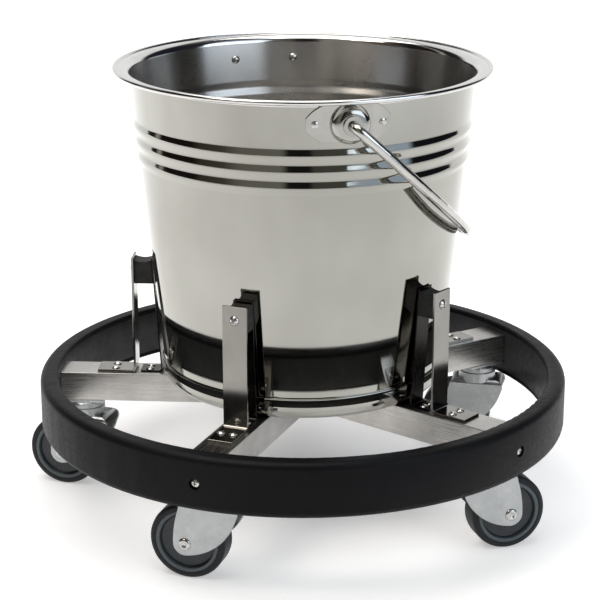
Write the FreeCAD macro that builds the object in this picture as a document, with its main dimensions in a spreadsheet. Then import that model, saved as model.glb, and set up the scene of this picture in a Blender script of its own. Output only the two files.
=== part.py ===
# A surgical kick bucket: a stainless bucket with a bail, standing loose in a five-armed frame
# with a rubber bumper and five swivel casters. Millimetres, +Z up, origin on the floor at the
# bucket's axis. The ears of the bail lie on the Y axis, and one arm of the frame points along +Y.
import FreeCAD, Part
import math
import os

import Sketcher

Vector = FreeCAD.Vector
Rotation = FreeCAD.Rotation
Placement = FreeCAD.Placement

doc = FreeCAD.newDocument("KickBucket")

# ---------------------------------------------------------------- driving dimensions
SIZES = {
    # frame
    "arm_height": 24.0,
    "arm_width": 28.0,
    "arm_sheet": 2.0,
    "arm_start": 24.0,            # from the axis to the inner end of an arm
    "hub_diameter": 96.0,
    "hub_thickness": 3.0,
    "hub_rivet_circle": 72.0,
    # bumper
    "bumper_diameter": 430.0,
    "bumper_clearance": 1.0,      # bumper above the forks
    "bumper_depth": 14.4,
    "bumper_round": 6.0,
    "bumper_lip": 4.0,            # rubber over and under the hoop
    "bumper_rise": 7.0,           # bumper top above the arms
    "hoop_thickness": 3.0,
    "screw_diameter": 4.8,
    "screw_head": 8.0,
    "screw_head_height": 1.6,
    "screw_recess": 2.2,          # depth of the seat in the rubber
    "screw_recess_width": 9.0,
    "screw_end": 6.0,             # screw inside the arm's end
    # bucket
    "bucket_height": 250.7,       # foot to the bend of the rim
    "foot_diameter": 223.6,       # wall at the foot
    "shoulder_diameter": 273.3,   # wall at the bend of the rim
    "rim_overhang": 12.85,        # rim beyond the wall
    "rim_roll": 4.0,
    "rim_bend": 5.0,
    "wall": 1.2,
    "floor_rise": 8.0,            # bucket floor above the arms
    "corner_radius": 8.0,
    "bead_height": 1.2,
    "bead_width": 10.0,
    "bead_drop": 36.4,            # top bead below the bend of the rim
    "bead_pitch": 12.4,
    "ring_height": 19.0,
    "ring_sheet": 1.5,
    "ring_round": 11.0,
    "ring_flange": 5.3,           # flat part of the ring under the bucket
    # ears and bail
    "ear_drop": 12.7,             # ear centre below the bend of the rim
    "ear_width": 64.0,
    "ear_depth": 28.0,
    "ear_nose": 4.0,
    "ear_curve": 28.0,            # radius of the ear's bowed edges
    "ear_sheet": 1.5,
    "ear_root": 3.0,              # cut away again where the ear meets the wall
    "dome_diameter": 30.0,
    "dome_edge": 3.0,
    "dome_radius": 7.6,
    "collar_diameter": 15.0,
    "collar_length": 2.0,
    "ear_rivet_spread": 51.0,     # measured round the wall
    "ear_rivet_seat": 0.5,
    "outer_head": 5.6,
    "outer_dome": 1.0,
    "bail_diameter": 8.0,
    "bail_bend": 7.0,
    "bail_leg": 12.0,             # straight length of the bail at each ear
    "bail_gap": 1.5,              # between the bail and the rim
    "bail_play": 0.5,             # between the bend and the ear
    "bail_clearance": 0.05,
    "bail_rest_gap": 0.3,         # between the hanging bail and the wall
    "bail_end": 5.0,
    "bore_end": 4.0,
    # holders
    "upright_width": 20.0,
    "upright_sheet": 2.0,
    "upright_foot": 32.0,
    "holder_height": 98.0,
    "strip_width": 16.0,
    "strip_sheet": 1.2,
    "strip_foot_gap": 3.3,        # between the foot of a strip and the upright
    "strip_ring_gap": 0.5,
    "strip_wall_gap": 0.4,
    "bend_radius": 2.0,
    "block_depth": 14.1,          # strip to upright, at the top of the holder
    "block_height": 20.0,
    "block_drop": 2.0,
    "block_sag": 1.5,
    "block_screw_drop": 11.0,
    "block_screw_depth": 10.0,
    "block_screw_dome": 2.2,
    # rivets
    "rivet_diameter": 4.0,
    "rivet_head": 7.0,
    "rivet_dome": 2.0,
    "rivet_closing": 1.2,
    "upright_rivet_reach": 17.5,  # from the inner face of an upright
    "upright_rivet_pitch": 10.0,
    "strip_rivet_pitch": 8.0,
    # casters
    "plate_end_gap": 1.6,         # between a plate and the hoop
    "caster_trail": 18.0,
    "wheel_diameter": 60.0,
    "wheel_width": 20.0,
    "tyre_depth": 5.0,
    "core_lip": 2.5,
    "dish_depth": 3.0,
    "boss_diameter": 17.0,
    "boss_length": 24.0,
    "boss_flare": 3.0,
    "tyre_round": 3.0,
    "axle_diameter": 8.0,
    "axle_head": 10.0,
    "axle_head_height": 1.8,
    "axle_head_edge": 1.2,
    "axle_clearance": 0.05,
    "fork_sheet": 2.0,
    "fork_gap": 2.5,              # between the wheel and a cheek
    "wheel_top_gap": 2.5,         # between the wheel and the crown of the fork
    "fork_crown": 14.0,           # arm underside to the top of the fork
    "crown_sheet": 2.5,
    "fork_back": 24.0,
    "fork_nose": 9.5,
    "fork_belly": 46.0,           # radius of the curved edge under each cheek
    "fork_bow": 90.0,             # radius of the curved front edge
    "fork_front_round": 7.0,
    "fork_back_round": 7.0,
    "fork_hip_x": 21.0,
    "fork_hip_drop": 15.0,        # hip below the top of the fork
    "fork_shoulder": 4.5,
    "plate_length": 34.0,
    "plate_thickness": 2.5,
    "race_diameter": 32.0,
    "race_height": 5.0,
    "race_gap": 0.3,
    "race_edge": 1.0,
    "pin_diameter": 8.0,
    "pin_head": 14.0,
    "pin_head_height": 2.0,
    "pin_play": 0.2,
    "pin_clearance": 0.05,
}
ARMS = 5
BEADS = 3
EAR_TURNS = {"ear_front": 270.0, "ear_rear": 90.0}
CASTER_HEADINGS = (149.0, 148.0, 3.0, 154.0, 106.0)   # way each caster trails, in degrees

sheet = doc.addObject("Spreadsheet::Sheet", "Sizes")
for row, (name, number) in enumerate(SIZES.items(), start=1):
    sheet.set(f"A{row}", name)
    sheet.set(f"B{row}", str(number))
    sheet.setAlias(f"B{row}", name)
doc.recompute()


class Size:
    """A size with its number and the formula over the sheet's cells that gives it."""

    def __init__(self, value, formula):
        self.value = value
        self.formula = formula

    def __add__(self, other):
        other = as_size(other)
        return Size(self.value + other.value, f"({self.formula} + {other.formula})")

    def __radd__(self, other):
        return as_size(other) + self

    def __sub__(self, other):
        other = as_size(other)
        return Size(self.value - other.value, f"({self.formula} - {other.formula})")

    def __rsub__(self, other):
        return as_size(other) - self

    def __mul__(self, other):
        other = as_size(other)
        return Size(self.value * other.value, f"({self.formula} * {other.formula})")

    def __rmul__(self, other):
        return as_size(other) * self

    def __truediv__(self, other):
        other = as_size(other)
        return Size(self.value / other.value, f"({self.formula} / {other.formula})")

    def __rtruediv__(self, other):
        return as_size(other) / self

    def __neg__(self):
        return 0 - self


def as_size(number):
    if isinstance(number, Size):
        return number
    return Size(float(number), f"({float(number):.9f})")


def root(size):
    return Size(math.sqrt(size.value), f"sqrt({size.formula})")


def cell(name):
    return Size(SIZES[name], f"Sizes.{name}")


# ---------------------------------------------------------------- drawing and features
def bind(thing, path, size):
    size = as_size(size)
    if size.value:
        thing.setExpression(path, size.formula)


def new_body(label, height=0, turn=0.0, x=0, y=0):
    """A body standing at a height, turned about Z, with its place tied to the sheet."""
    body = doc.addObject("PartDesign::Body", label)
    body.Label = label
    steps = [as_size(step) for step in (x, y, height)]
    body.Placement = Placement(
        Vector(*(step.value for step in steps)), Rotation(Vector(0, 0, 1), turn))
    for axis, step in zip("xyz", steps):
        bind(body, f"Placement.Base.{axis}", step)
    return body


def new_sketch(body, name, plane, offset=(0, 0, 0), turn=0):
    """A sketch on one of the body's own origin planes, moved, and turned about its own Y."""
    sketch = body.newObject("Sketcher::SketchObject", name)
    origin = [f for f in body.Origin.OriginFeatures if f.Role == f"{plane}_Plane"][0]
    sketch.AttachmentSupport = [(origin, "")]
    sketch.MapMode = "FlatFace"
    steps = [as_size(step) for step in offset]
    turn = as_size(turn)
    sketch.AttachmentOffset = Placement(
        Vector(*(step.value for step in steps)), Rotation(Vector(0, 1, 0), turn.value))
    for axis, step in zip("xyz", steps):
        bind(sketch, f"AttachmentOffset.Base.{axis}", step)
    bind(sketch, "AttachmentOffset.Rotation.Angle", turn)
    return sketch


def hold_point(sketch, geometry, end, x, y):
    """Ties one end of a line or arc to its two sizes."""
    for axis, size, across in (("X", x, -2), ("Y", y, -1)):
        size = as_size(size)
        if size.value == 0:
            sketch.addConstraint(Sketcher.Constraint("PointOnObject", geometry, end, across))
            continue
        index = sketch.addConstraint(
            Sketcher.Constraint(f"Distance{axis}", -1, 1, geometry, end, size.value))
        name = f"{axis.lower()}{geometry}_{end}"
        sketch.renameConstraint(index, name)
        sketch.setExpression(f"Constraints.{name}", size.formula)


def hold_radius(sketch, geometry, radius):
    radius = as_size(radius)
    index = sketch.addConstraint(Sketcher.Constraint("Radius", geometry, radius.value))
    name = f"r{geometry}"
    sketch.renameConstraint(index, name)
    sketch.setExpression(f"Constraints.{name}", radius.formula)


def arc_centre(start, end, radius, turn):
    """Centre of the short arc between two points; turn is 1 to the left and -1 to the right."""
    middle = (start + end) / 2
    half = (end - start) / 2
    rise = math.sqrt(max(radius ** 2 - half.Length ** 2, 0.0))
    side = Vector(-half.y, half.x, 0) / half.Length
    return middle + side * rise * turn


def outline(sketch, *stations, closed=True):
    """Draws from station to station: (x, y), or (x, y, radius, turn) when an arc leads there."""
    points = [station[:2] for station in stations]
    arcs = [station[2:] for station in stations[1:]]
    if closed:
        points.append(points[0])
        arcs.append(())
    places = [Vector(as_size(x).value, as_size(y).value, 0) for x, y in points]
    pieces = []
    for arc, here, there in zip(arcs, places, places[1:]):
        if not arc:
            pieces.append((sketch.addGeometry(Part.LineSegment(here, there), False), 1, 2))
            continue
        radius, turn = as_size(arc[0]), arc[1]
        centre = arc_centre(here, there, radius.value, turn)
        ends = (here, there) if turn > 0 else (there, here)
        angles = [math.atan2(end.y - centre.y, end.x - centre.x) for end in ends]
        ring = Part.Circle(centre, Vector(0, 0, 1), radius.value)
        geometry = sketch.addGeometry(Part.ArcOfCircle(ring, *angles), False)
        pieces.append((geometry, 1, 2) if turn > 0 else (geometry, 2, 1))
    joints = list(zip(pieces, pieces[1:]))
    if closed:
        joints.append((pieces[-1], pieces[0]))
    for (geometry, _, finish), (following, begin, _) in joints:
        sketch.addConstraint(
            Sketcher.Constraint("Coincident", geometry, finish, following, begin))
    for (geometry, begin, _), (x, y), arc in zip(pieces, points, arcs):
        hold_point(sketch, geometry, begin, x, y)
        if arc:
            hold_radius(sketch, geometry, arc[0])
    if not closed:
        geometry, _, finish = pieces[-1]
        hold_point(sketch, geometry, finish, *points[-1])
    return sketch


def circle(sketch, x, y, diameter):
    radius = as_size(diameter) / 2
    centre = Vector(as_size(x).value, as_size(y).value, 0)
    geometry = sketch.addGeometry(Part.Circle(centre, Vector(0, 0, 1), radius.value), False)
    hold_point(sketch, geometry, 3, x, y)
    hold_radius(sketch, geometry, radius)
    return sketch


def pad(body, name, sketch, length, both_ways=False):
    feature = body.newObject("PartDesign::Pad", name)
    feature.Profile = sketch
    if both_ways:
        feature.SideType = "Symmetric"
    bind(feature, "Length", length)
    return feature


def cut(body, name, sketch, forwards=False, both_ways=False, depth=None):
    """A pocket, through everything unless it has a depth; forwards is along the sketch normal."""
    feature = body.newObject("PartDesign::Pocket", name)
    feature.Profile = sketch
    feature.Reversed = forwards
    if both_ways:
        feature.SideType = "Symmetric"
    if depth is None:
        feature.Type = "ThroughAll"
    else:
        feature.Type = "Length"
        bind(feature, "Length", depth)
    return feature


def spin(body, name, sketch, axis="V_Axis", angle=None):
    feature = body.newObject("PartDesign::Revolution", name)
    feature.Profile = sketch
    feature.ReferenceAxis = (sketch, [axis])
    feature.Angle = 360.0
    if angle is not None:
        feature.Midplane = True
        bind(feature, "Angle", angle)
    return feature


def spin_cut(body, name, sketch, axis="V_Axis"):
    feature = body.newObject("PartDesign::Groove", name)
    feature.Profile = sketch
    feature.ReferenceAxis = (sketch, [axis])
    feature.Angle = 360.0
    return feature


def repeat_round(body, name, originals, copies):
    """Repeats features round the body's Z axis."""
    feature = body.newObject("PartDesign::PolarPattern", name)
    feature.Originals = originals
    axis = [f for f in body.Origin.OriginFeatures if f.Role == "Z_Axis"][0]
    feature.Axis = (axis, [""])
    feature.Angle = 360.0
    feature.Occurrences = copies
    body.Tip = feature
    return feature


def cap_radius(half_width, rise):
    """Radius of an arc that rises by so much over half a chord."""
    return (half_width * half_width + rise * rise) / (2 * rise)


def arm_angle(number):
    return 90.0 + number * 360.0 / ARMS


# ---------------------------------------------------------------- places that pieces share
wheel_radius = cell("wheel_diameter") / 2
crown_top = cell("wheel_diameter") + cell("wheel_top_gap") + cell("crown_sheet")
arm_underside = crown_top + cell("fork_crown")
arm_top = arm_underside + cell("arm_height")
arm_half = cell("arm_width") / 2
bumper_radius = cell("bumper_diameter") / 2
hoop_inside = bumper_radius - cell("bumper_depth")
hoop_outside = hoop_inside + cell("hoop_thickness")
bumper_half = (arm_top + cell("bumper_rise") - crown_top - cell("bumper_clearance")) / 2
hoop_half = bumper_half - cell("bumper_lip")
bumper_middle = arm_top + cell("bumper_rise") - bumper_half

foot_radius = cell("foot_diameter") / 2
shoulder_radius = cell("shoulder_diameter") / 2
taper = (shoulder_radius - foot_radius) / cell("bucket_height")
slant = root(1 + taper * taper)
taper_cos = 1 / slant
taper_sin = taper / slant


def wall_radius(height):
    """Outer radius of the bucket wall at a height above its foot."""
    return foot_radius + taper * height


rim_bend = cell("rim_bend")
bend_x = shoulder_radius + rim_bend * taper_cos
bend_z = cell("bucket_height") - rim_bend * taper_sin
rim_radius = shoulder_radius + cell("rim_overhang")
lip_radius = rim_radius - cell("rim_roll") / 2
lip_z = bend_z + rim_bend

rod = cell("bail_diameter") / 2
bail_radius = rim_radius + cell("bail_gap") + rod
ear_height = cell("bucket_height") - cell("ear_drop")
ear_radius = wall_radius(ear_height)
ear_face = bail_radius - cell("bail_bend") - cell("bail_play")
rivet_turn = cell("ear_rivet_spread") / 2 / ear_radius * math.degrees(1)

strip_foot_x = wall_radius(cell("ring_height")) + cell("ring_sheet") * slant + cell("strip_ring_gap")
strip_top_x = wall_radius(cell("holder_height")) + cell("strip_wall_gap")
strip_bend_z = cell("strip_sheet") + cell("bend_radius")
strip_lean = (strip_top_x - strip_foot_x) / (cell("holder_height") - strip_bend_z)
strip_foot_start = strip_foot_x + cell("strip_sheet") + cell("bend_radius")
upright_radius = strip_top_x + cell("strip_sheet") + cell("block_depth")
strip_foot_end = upright_radius - cell("strip_foot_gap")
foot_rivet_places = {
    "upright": upright_radius + cell("upright_rivet_reach"),
    "strip": (strip_foot_start + strip_foot_end) / 2,
}


def strip_outside(height):
    """Outer face of a spring strip at a height above the arms."""
    return strip_foot_x + cell("strip_sheet") + strip_lean * (height - strip_bend_z)


caster_radius = hoop_inside - cell("plate_end_gap") - cell("plate_length") / 2
cheek_inside = cell("wheel_width") / 2 + cell("fork_gap")
cheek_outside = cheek_inside + cell("fork_sheet")
upper_race = arm_underside - cell("plate_thickness") - cell("race_height")


# ---------------------------------------------------------------- arms of folded channel
def make_arm(number):
    body = new_body(f"arm_{number}", arm_underside, arm_angle(number))
    high = cell("arm_height")
    thick = cell("arm_sheet")
    channel = outline(
        new_sketch(body, "Channel", "YZ", (0, 0, cell("arm_start"))),
        (-arm_half, 0), (-arm_half, high), (arm_half, high), (arm_half, 0),
        (arm_half - thick, 0), (arm_half - thick, high - thick),
        (thick - arm_half, high - thick), (thick - arm_half, 0))
    pad(body, "Folded", channel, hoop_inside - cell("arm_start"))
    tab = outline(
        new_sketch(body, "TabOutline", "YZ", (0, 0, hoop_inside - 2 * thick)),
        (thick - arm_half, 0), (thick - arm_half, high - thick),
        (arm_half - thick, high - thick), (arm_half - thick, 0))
    pad(body, "EndTab", tab, 2 * thick)
    hoop_space = outline(
        new_sketch(body, "HoopSpace", "XZ"),
        (hoop_inside, -thick), (hoop_outside, -thick),
        (hoop_outside, high + thick), (hoop_inside, high + thick))
    spin_cut(body, "HoopSeat", hoop_space)
    bumper_hole = circle(
        new_sketch(body, "BumperHole", "YZ"),
        0, bumper_middle - arm_underside, cell("screw_diameter"))
    cut(body, "BumperHoleCut", bumper_hole, forwards=True)
    holes = new_sketch(body, "RivetHoles", "XY")
    circle(holes, cell("hub_rivet_circle") / 2, 0, cell("rivet_diameter"))
    for side in (-1, 1):
        for name, place in foot_rivet_places.items():
            circle(holes, place, side * cell(f"{name}_rivet_pitch") / 2, cell("rivet_diameter"))
    cut(body, "RivetHolesCut", holes, forwards=True)
    return body


arms = [make_arm(number) for number in range(1, ARMS + 1)]


# ---------------------------------------------------------------- hub plate and its rivets
hub_plate = new_body("hub_plate", arm_top)
disc = circle(new_sketch(hub_plate, "Disc", "XY"), 0, 0, cell("hub_diameter"))
pad(hub_plate, "Plate", disc, cell("hub_thickness"))
hub_hole = circle(
    new_sketch(hub_plate, "RivetHole", "XY"),
    0, cell("hub_rivet_circle") / 2, cell("rivet_diameter"))
repeat_round(hub_plate, "RivetHolesRound", [cut(hub_plate, "Hole", hub_hole, forwards=True)], ARMS)


def rivet_outline(sketch, grip):
    """Dome head above 0, shank down through the grip, and a flat closing head."""
    rivet_shank = cell("rivet_diameter") / 2
    rivet_edge = cell("rivet_head") / 2
    closing = -grip - cell("rivet_closing")
    return outline(
        sketch, (0, closing), (rivet_edge, closing), (rivet_edge, -grip), (rivet_shank, -grip),
        (rivet_shank, 0), (rivet_edge, 0),
        (0, cell("rivet_dome"), cap_radius(rivet_edge, cell("rivet_dome")), 1))


hub_rivets = new_body("hub_rivets", arm_top + cell("hub_thickness"))
hub_rivet = rivet_outline(
    new_sketch(hub_rivets, "RivetOutline", "XZ", (0, 0, -cell("hub_rivet_circle") / 2)),
    cell("hub_thickness") + cell("arm_sheet"))
repeat_round(hub_rivets, "RivetsRound", [spin(hub_rivets, "Rivet", hub_rivet)], ARMS)


# ---------------------------------------------------------------- hoop, bumper and screws
bumper_hoop = new_body("bumper_hoop", bumper_middle)
band = outline(
    new_sketch(bumper_hoop, "Band", "XZ"),
    (hoop_inside, -hoop_half), (hoop_outside, -hoop_half),
    (hoop_outside, hoop_half), (hoop_inside, hoop_half))
spin(bumper_hoop, "Hoop", band)
hoop_hole = circle(new_sketch(bumper_hoop, "ScrewHole", "XZ"), 0, 0, cell("screw_diameter"))
repeat_round(bumper_hoop, "ScrewHolesRound", [cut(bumper_hoop, "Hole", hoop_hole)], ARMS)

rubber_bumper = new_body("rubber_bumper", bumper_middle)
soft = cell("bumper_round")
lip_round = cell("bumper_lip") / 2
section = outline(
    new_sketch(rubber_bumper, "Section", "XZ"),
    (hoop_inside, lip_round - bumper_half),
    (hoop_inside + lip_round, -bumper_half, lip_round, 1),
    (bumper_radius - soft, -bumper_half), (bumper_radius, soft - bumper_half, soft, 1),
    (bumper_radius, bumper_half - soft), (bumper_radius - soft, bumper_half, soft, 1),
    (hoop_inside + lip_round, bumper_half),
    (hoop_inside, bumper_half - lip_round, lip_round, 1), (hoop_inside, hoop_half),
    (hoop_outside, hoop_half), (hoop_outside, -hoop_half), (hoop_inside, -hoop_half))
spin(rubber_bumper, "Rubber", section)
rubber_hole = circle(new_sketch(rubber_bumper, "ScrewHole", "XZ"), 0, 0, cell("screw_diameter"))
rubber_cut = cut(rubber_bumper, "Hole", rubber_hole)
head_seat = circle(
    new_sketch(rubber_bumper, "HeadSeat", "XZ", (0, 0, -bumper_radius)),
    0, 0, cell("screw_recess_width"))
seat_cut = cut(rubber_bumper, "HeadSeatCut", head_seat, forwards=True, depth=cell("screw_recess"))
repeat_round(rubber_bumper, "ScrewHolesRound", [rubber_cut, seat_cut], ARMS)

bumper_screws = new_body("bumper_screws", bumper_middle, 90.0)
screw_start = hoop_inside - cell("screw_end")
screw_seat = bumper_radius - cell("screw_recess")
screw_edge = cell("screw_head") / 2
screw = outline(
    new_sketch(bumper_screws, "ScrewOutline", "XZ"),
    (screw_start, 0), (screw_start, cell("screw_diameter") / 2),
    (screw_seat, cell("screw_diameter") / 2), (screw_seat, screw_edge),
    (screw_seat + cell("screw_head_height"), 0,
     cap_radius(screw_edge, cell("screw_head_height")), -1))
repeat_round(bumper_screws, "ScrewsRound", [spin(bumper_screws, "Screw", screw, "H_Axis")], ARMS)


# ---------------------------------------------------------------- bucket shell
bucket_shell = new_body("bucket_shell", arm_top)
thin = cell("wall")


def inner_radius(height):
    return wall_radius(height) - thin * slant


bead_radius = cap_radius(cell("bead_width") * slant / 2, cell("bead_height"))
bead_inner = bead_radius - thin
bead_sunk = bead_inner - cell("bead_height")
bead_inner_half = root(bead_inner * bead_inner - bead_sunk * bead_sunk) / slant
outside = []
inside = []
for bead in reversed(range(BEADS)):
    middle = cell("bucket_height") - cell("bead_drop") - bead * cell("bead_pitch")
    low, high = middle - cell("bead_width") / 2, middle + cell("bead_width") / 2
    outside += [(wall_radius(low), low), (wall_radius(high), high, bead_radius, 1)]
    low, high = middle - bead_inner_half, middle + bead_inner_half
    inside = [(inner_radius(high), high), (inner_radius(low), low, bead_inner, -1)] + inside
corner = cell("corner_radius")
inner_corner = corner - thin
floor_low = cell("floor_rise")
floor_top = floor_low + thin
corner_z = floor_low + corner
corner_x = wall_radius(corner_z) - corner * slant
shell = outline(
    new_sketch(bucket_shell, "Profile", "XZ"),
    (0, floor_low), (corner_x, floor_low),
    (corner_x + corner * taper_cos, corner_z - corner * taper_sin, corner, 1),
    *outside,
    (shoulder_radius, cell("bucket_height")), (bend_x, lip_z, rim_bend, -1),
    (lip_radius, lip_z), (lip_radius, lip_z + thin), (bend_x, lip_z + thin),
    (bend_x - (rim_bend + thin) * taper_cos, bend_z + (rim_bend + thin) * taper_sin,
     rim_bend + thin, 1),
    *inside,
    (corner_x + inner_corner * taper_cos, corner_z - inner_corner * taper_sin),
    (corner_x, floor_top, inner_corner, -1), (0, floor_top))
spin(bucket_shell, "Shell", shell)
rolled = circle(
    new_sketch(bucket_shell, "RolledEdge", "XZ"),
    lip_radius, lip_z + thin / 2, cell("rim_roll"))
spin(bucket_shell, "Roll", rolled)
for half_turn in (0, 1):
    for side in (0, 1):
        ear_hole = circle(
            new_sketch(bucket_shell, f"EarHole{half_turn}{side}", "XZ",
                       turn=180 * half_turn + (2 * side - 1) * rivet_turn),
            0, ear_height, cell("rivet_diameter"))
        cut(bucket_shell, f"EarHoleCut{half_turn}{side}", ear_hole)


# ---------------------------------------------------------------- rolled ring under the bucket
bucket_base_ring = new_body("bucket_base_ring", arm_top)
ring_bend = cell("ring_round")
gauge = cell("ring_sheet")


def ring_radius(height):
    return wall_radius(height) + gauge * slant


ring_x = ring_radius(ring_bend) - ring_bend * slant
inner_bend = ring_bend - gauge
ring = outline(
    new_sketch(bucket_base_ring, "Section", "XZ"),
    (ring_x - cell("ring_flange"), 0), (ring_x, 0),
    (ring_x + ring_bend * taper_cos, ring_bend - ring_bend * taper_sin, ring_bend, 1),
    (ring_radius(cell("ring_height")), cell("ring_height")),
    (wall_radius(cell("ring_height")), cell("ring_height")),
    (ring_x + inner_bend * taper_cos, ring_bend - inner_bend * taper_sin),
    (ring_x, gauge, inner_bend, -1),
    (ring_x - cell("ring_flange"), gauge))
spin(bucket_base_ring, "Ring", ring)


# ---------------------------------------------------------------- ears of the bail
def make_ear(label, turn):
    """A pressed ear: a pointed plate round the wall, and a dome with the bore for the bail."""
    body = new_body(label, arm_top, turn)
    centre = ear_height
    half = cell("ear_depth") / 2
    plate_thick = cell("ear_sheet")
    under = cell("ear_root")
    top = centre + half
    plate = outline(
        new_sketch(body, "PlateSection", "XZ"),
        (wall_radius(centre - half) - under, centre - half),
        (wall_radius(centre - half) + plate_thick * slant, centre - half),
        (wall_radius(top) + plate_thick * slant, top),
        (wall_radius(centre - half) - under, top))
    spin(body, "Plate", plate, angle=cell("ear_width") / ear_radius * math.degrees(1))
    corners = new_sketch(body, "Corners", "YZ")
    wide = cell("ear_width") / 2 + plate_thick
    clear = wide + 2 * plate_thick
    for across in (-1, 1):
        for up in (-1, 1):
            outline(
                corners, (across * clear, centre + up * cell("ear_nose") / 2),
                (across * clear, centre + up * (half + plate_thick)),
                (across * cell("dome_diameter") / 2, centre + up * (half + plate_thick)),
                (across * wide, centre + up * cell("ear_nose") / 2,
                 cell("ear_curve"), -across * up))
    cut(body, "Pointed", corners, forwards=True)
    dome = cell("dome_diameter") / 2
    collar = cell("collar_diameter") / 2
    bore = rod + cell("bail_clearance")
    bottom = ear_radius + cell("bore_end")
    boss = outline(
        new_sketch(body, "BossSection", "XZ", (0, centre, 0)),
        (ear_radius - under, 0), (ear_radius - under, dome),
        (ear_radius + cell("dome_edge"), dome),
        (ear_face - cell("collar_length"), collar, cell("dome_radius"), -1),
        (ear_face, collar), (ear_face, bore), (bottom, bore), (bottom, 0))
    spin(body, "Boss", boss, "H_Axis")
    wall_space = outline(
        new_sketch(body, "WallSpace", "XZ"),
        (0, centre - 2 * half), (wall_radius(centre - 2 * half), centre - 2 * half),
        (shoulder_radius, cell("bucket_height")), (bend_x, lip_z, rim_bend, -1),
        (bend_x, centre + 2 * half), (0, centre + 2 * half))
    spin_cut(body, "WallCut", wall_space)
    for side in (0, 1):
        hole = circle(
            new_sketch(body, f"RivetHole{side}", "YZ", turn=(2 * side - 1) * rivet_turn),
            0, centre, cell("rivet_diameter"))
        cut(body, f"RivetHoleCut{side}", hole, forwards=True)
    return body


ears = [make_ear(label, turn) for label, turn in EAR_TURNS.items()]

# two rivets hold each ear: a dome inside the bucket, the shank, and a low dome outside
ear_rivets = new_body("ear_rivets", arm_top + ear_height, 90.0)
shank = cell("rivet_diameter") / 2
inner_edge = cell("rivet_head") / 2
outer_edge = cell("outer_head") / 2
inner_seat = ear_radius - thin * slant - cell("ear_rivet_seat")
outer_seat = ear_radius + cell("ear_sheet") + cell("ear_rivet_seat")
for half_turn in (0, 1):
    for side in (0, 1):
        rivet = outline(
            new_sketch(ear_rivets, f"RivetOutline{half_turn}{side}", "XZ",
                       turn=180 * half_turn + (2 * side - 1) * rivet_turn),
            (inner_seat - cell("rivet_dome"), 0),
            (inner_seat, inner_edge, cap_radius(inner_edge, cell("rivet_dome")), -1),
            (inner_seat, shank), (outer_seat, shank), (outer_seat, outer_edge),
            (outer_seat + cell("outer_dome"), 0,
             cap_radius(outer_edge, cell("outer_dome")), -1))
        spin(ear_rivets, f"Rivet{half_turn}{side}", rivet, "H_Axis")


# ---------------------------------------------------------------- bail
# drawn lying flat along +X with its ends in the ears, then dropped until it rests on the wall
bail = new_body("bail", arm_top + ear_height)
bail_straight = cell("bail_bend") + cell("bail_leg")
bail_reach = bail_straight + bail_radius
rest = (ear_radius * taper_cos + rod + cell("bail_rest_gap")) / bail_reach
bail_drop = Size(
    math.degrees(math.acos(rest.value) + math.atan(taper.value)),
    f"acos({rest.formula}) + atan({taper.formula})")
bail.Placement = Placement(bail.Placement.Base, Rotation(Vector(0, 1, 0), bail_drop.value))
bind(bail, "Placement.Rotation.Angle", bail_drop)
bail_start = ear_radius + cell("bail_end")
bail_turn_in = bail_radius - cell("bail_bend")
bail_path = outline(
    new_sketch(bail, "Path", "XY"),
    (0, -bail_start), (0, -bail_turn_in),
    (cell("bail_bend"), -bail_radius, cell("bail_bend"), 1), (bail_straight, -bail_radius),
    (bail_reach, 0, bail_radius, 1), (bail_straight, bail_radius, bail_radius, 1),
    (cell("bail_bend"), bail_radius), (0, bail_turn_in, cell("bail_bend"), 1),
    (0, bail_start), closed=False)
rod_section = circle(
    new_sketch(bail, "RodSection", "XZ", (0, 0, bail_start)), 0, 0, cell("bail_diameter"))
bail_rod = bail.newObject("PartDesign::AdditivePipe", "Rod")
bail_rod.Profile = rod_section
bail_rod.Spine = bail_path


# ---------------------------------------------------------------- holders on the arms
def bent_strip(sketch, foot_x, top_inside, top_outside, thick, foot_end):
    """Side view of a strip that stands on a foot turned outwards."""
    inner_bend = cell("bend_radius")
    outer_bend = inner_bend + thick
    return outline(
        sketch, (foot_x, outer_bend), (foot_x + outer_bend, 0, outer_bend, 1),
        (foot_end, 0), (foot_end, thick), (foot_x + outer_bend, thick),
        (foot_x + thick, outer_bend, inner_bend, -1),
        (top_outside, cell("holder_height")), (top_inside, cell("holder_height")))


def make_upright(number):
    body = new_body(f"upright_{number}", arm_top, arm_angle(number))
    inner = upright_radius
    thick = cell("upright_sheet")
    side_view = bent_strip(
        new_sketch(body, "SideView", "XZ"), inner, inner, inner + thick, thick,
        inner + cell("upright_foot"))
    pad(body, "Bent", side_view, cell("upright_width"), both_ways=True)
    screw_hole = circle(
        new_sketch(body, "ScrewHole", "YZ"),
        0, cell("holder_height") - cell("block_screw_drop"), cell("screw_diameter"))
    cut(body, "ScrewHoleCut", screw_hole, forwards=True)
    holes = new_sketch(body, "RivetHoles", "XY")
    for side in (-1, 1):
        circle(holes, foot_rivet_places["upright"], side * cell("upright_rivet_pitch") / 2,
               cell("rivet_diameter"))
    cut(body, "RivetHolesCut", holes, forwards=True)
    return body


def make_spring_strip(number):
    body = new_body(f"spring_strip_{number}", arm_top, arm_angle(number))
    thick = cell("strip_sheet")
    side_view = bent_strip(
        new_sketch(body, "SideView", "XZ"), strip_foot_x, strip_top_x, strip_top_x + thick,
        thick, strip_foot_end)
    pad(body, "Bent", side_view, cell("strip_width"), both_ways=True)
    holes = new_sketch(body, "RivetHoles", "XY")
    for side in (-1, 1):
        circle(holes, foot_rivet_places["strip"], side * cell("strip_rivet_pitch") / 2,
               cell("rivet_diameter"))
    cut(body, "RivetHolesCut", holes, forwards=True)
    return body


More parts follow.
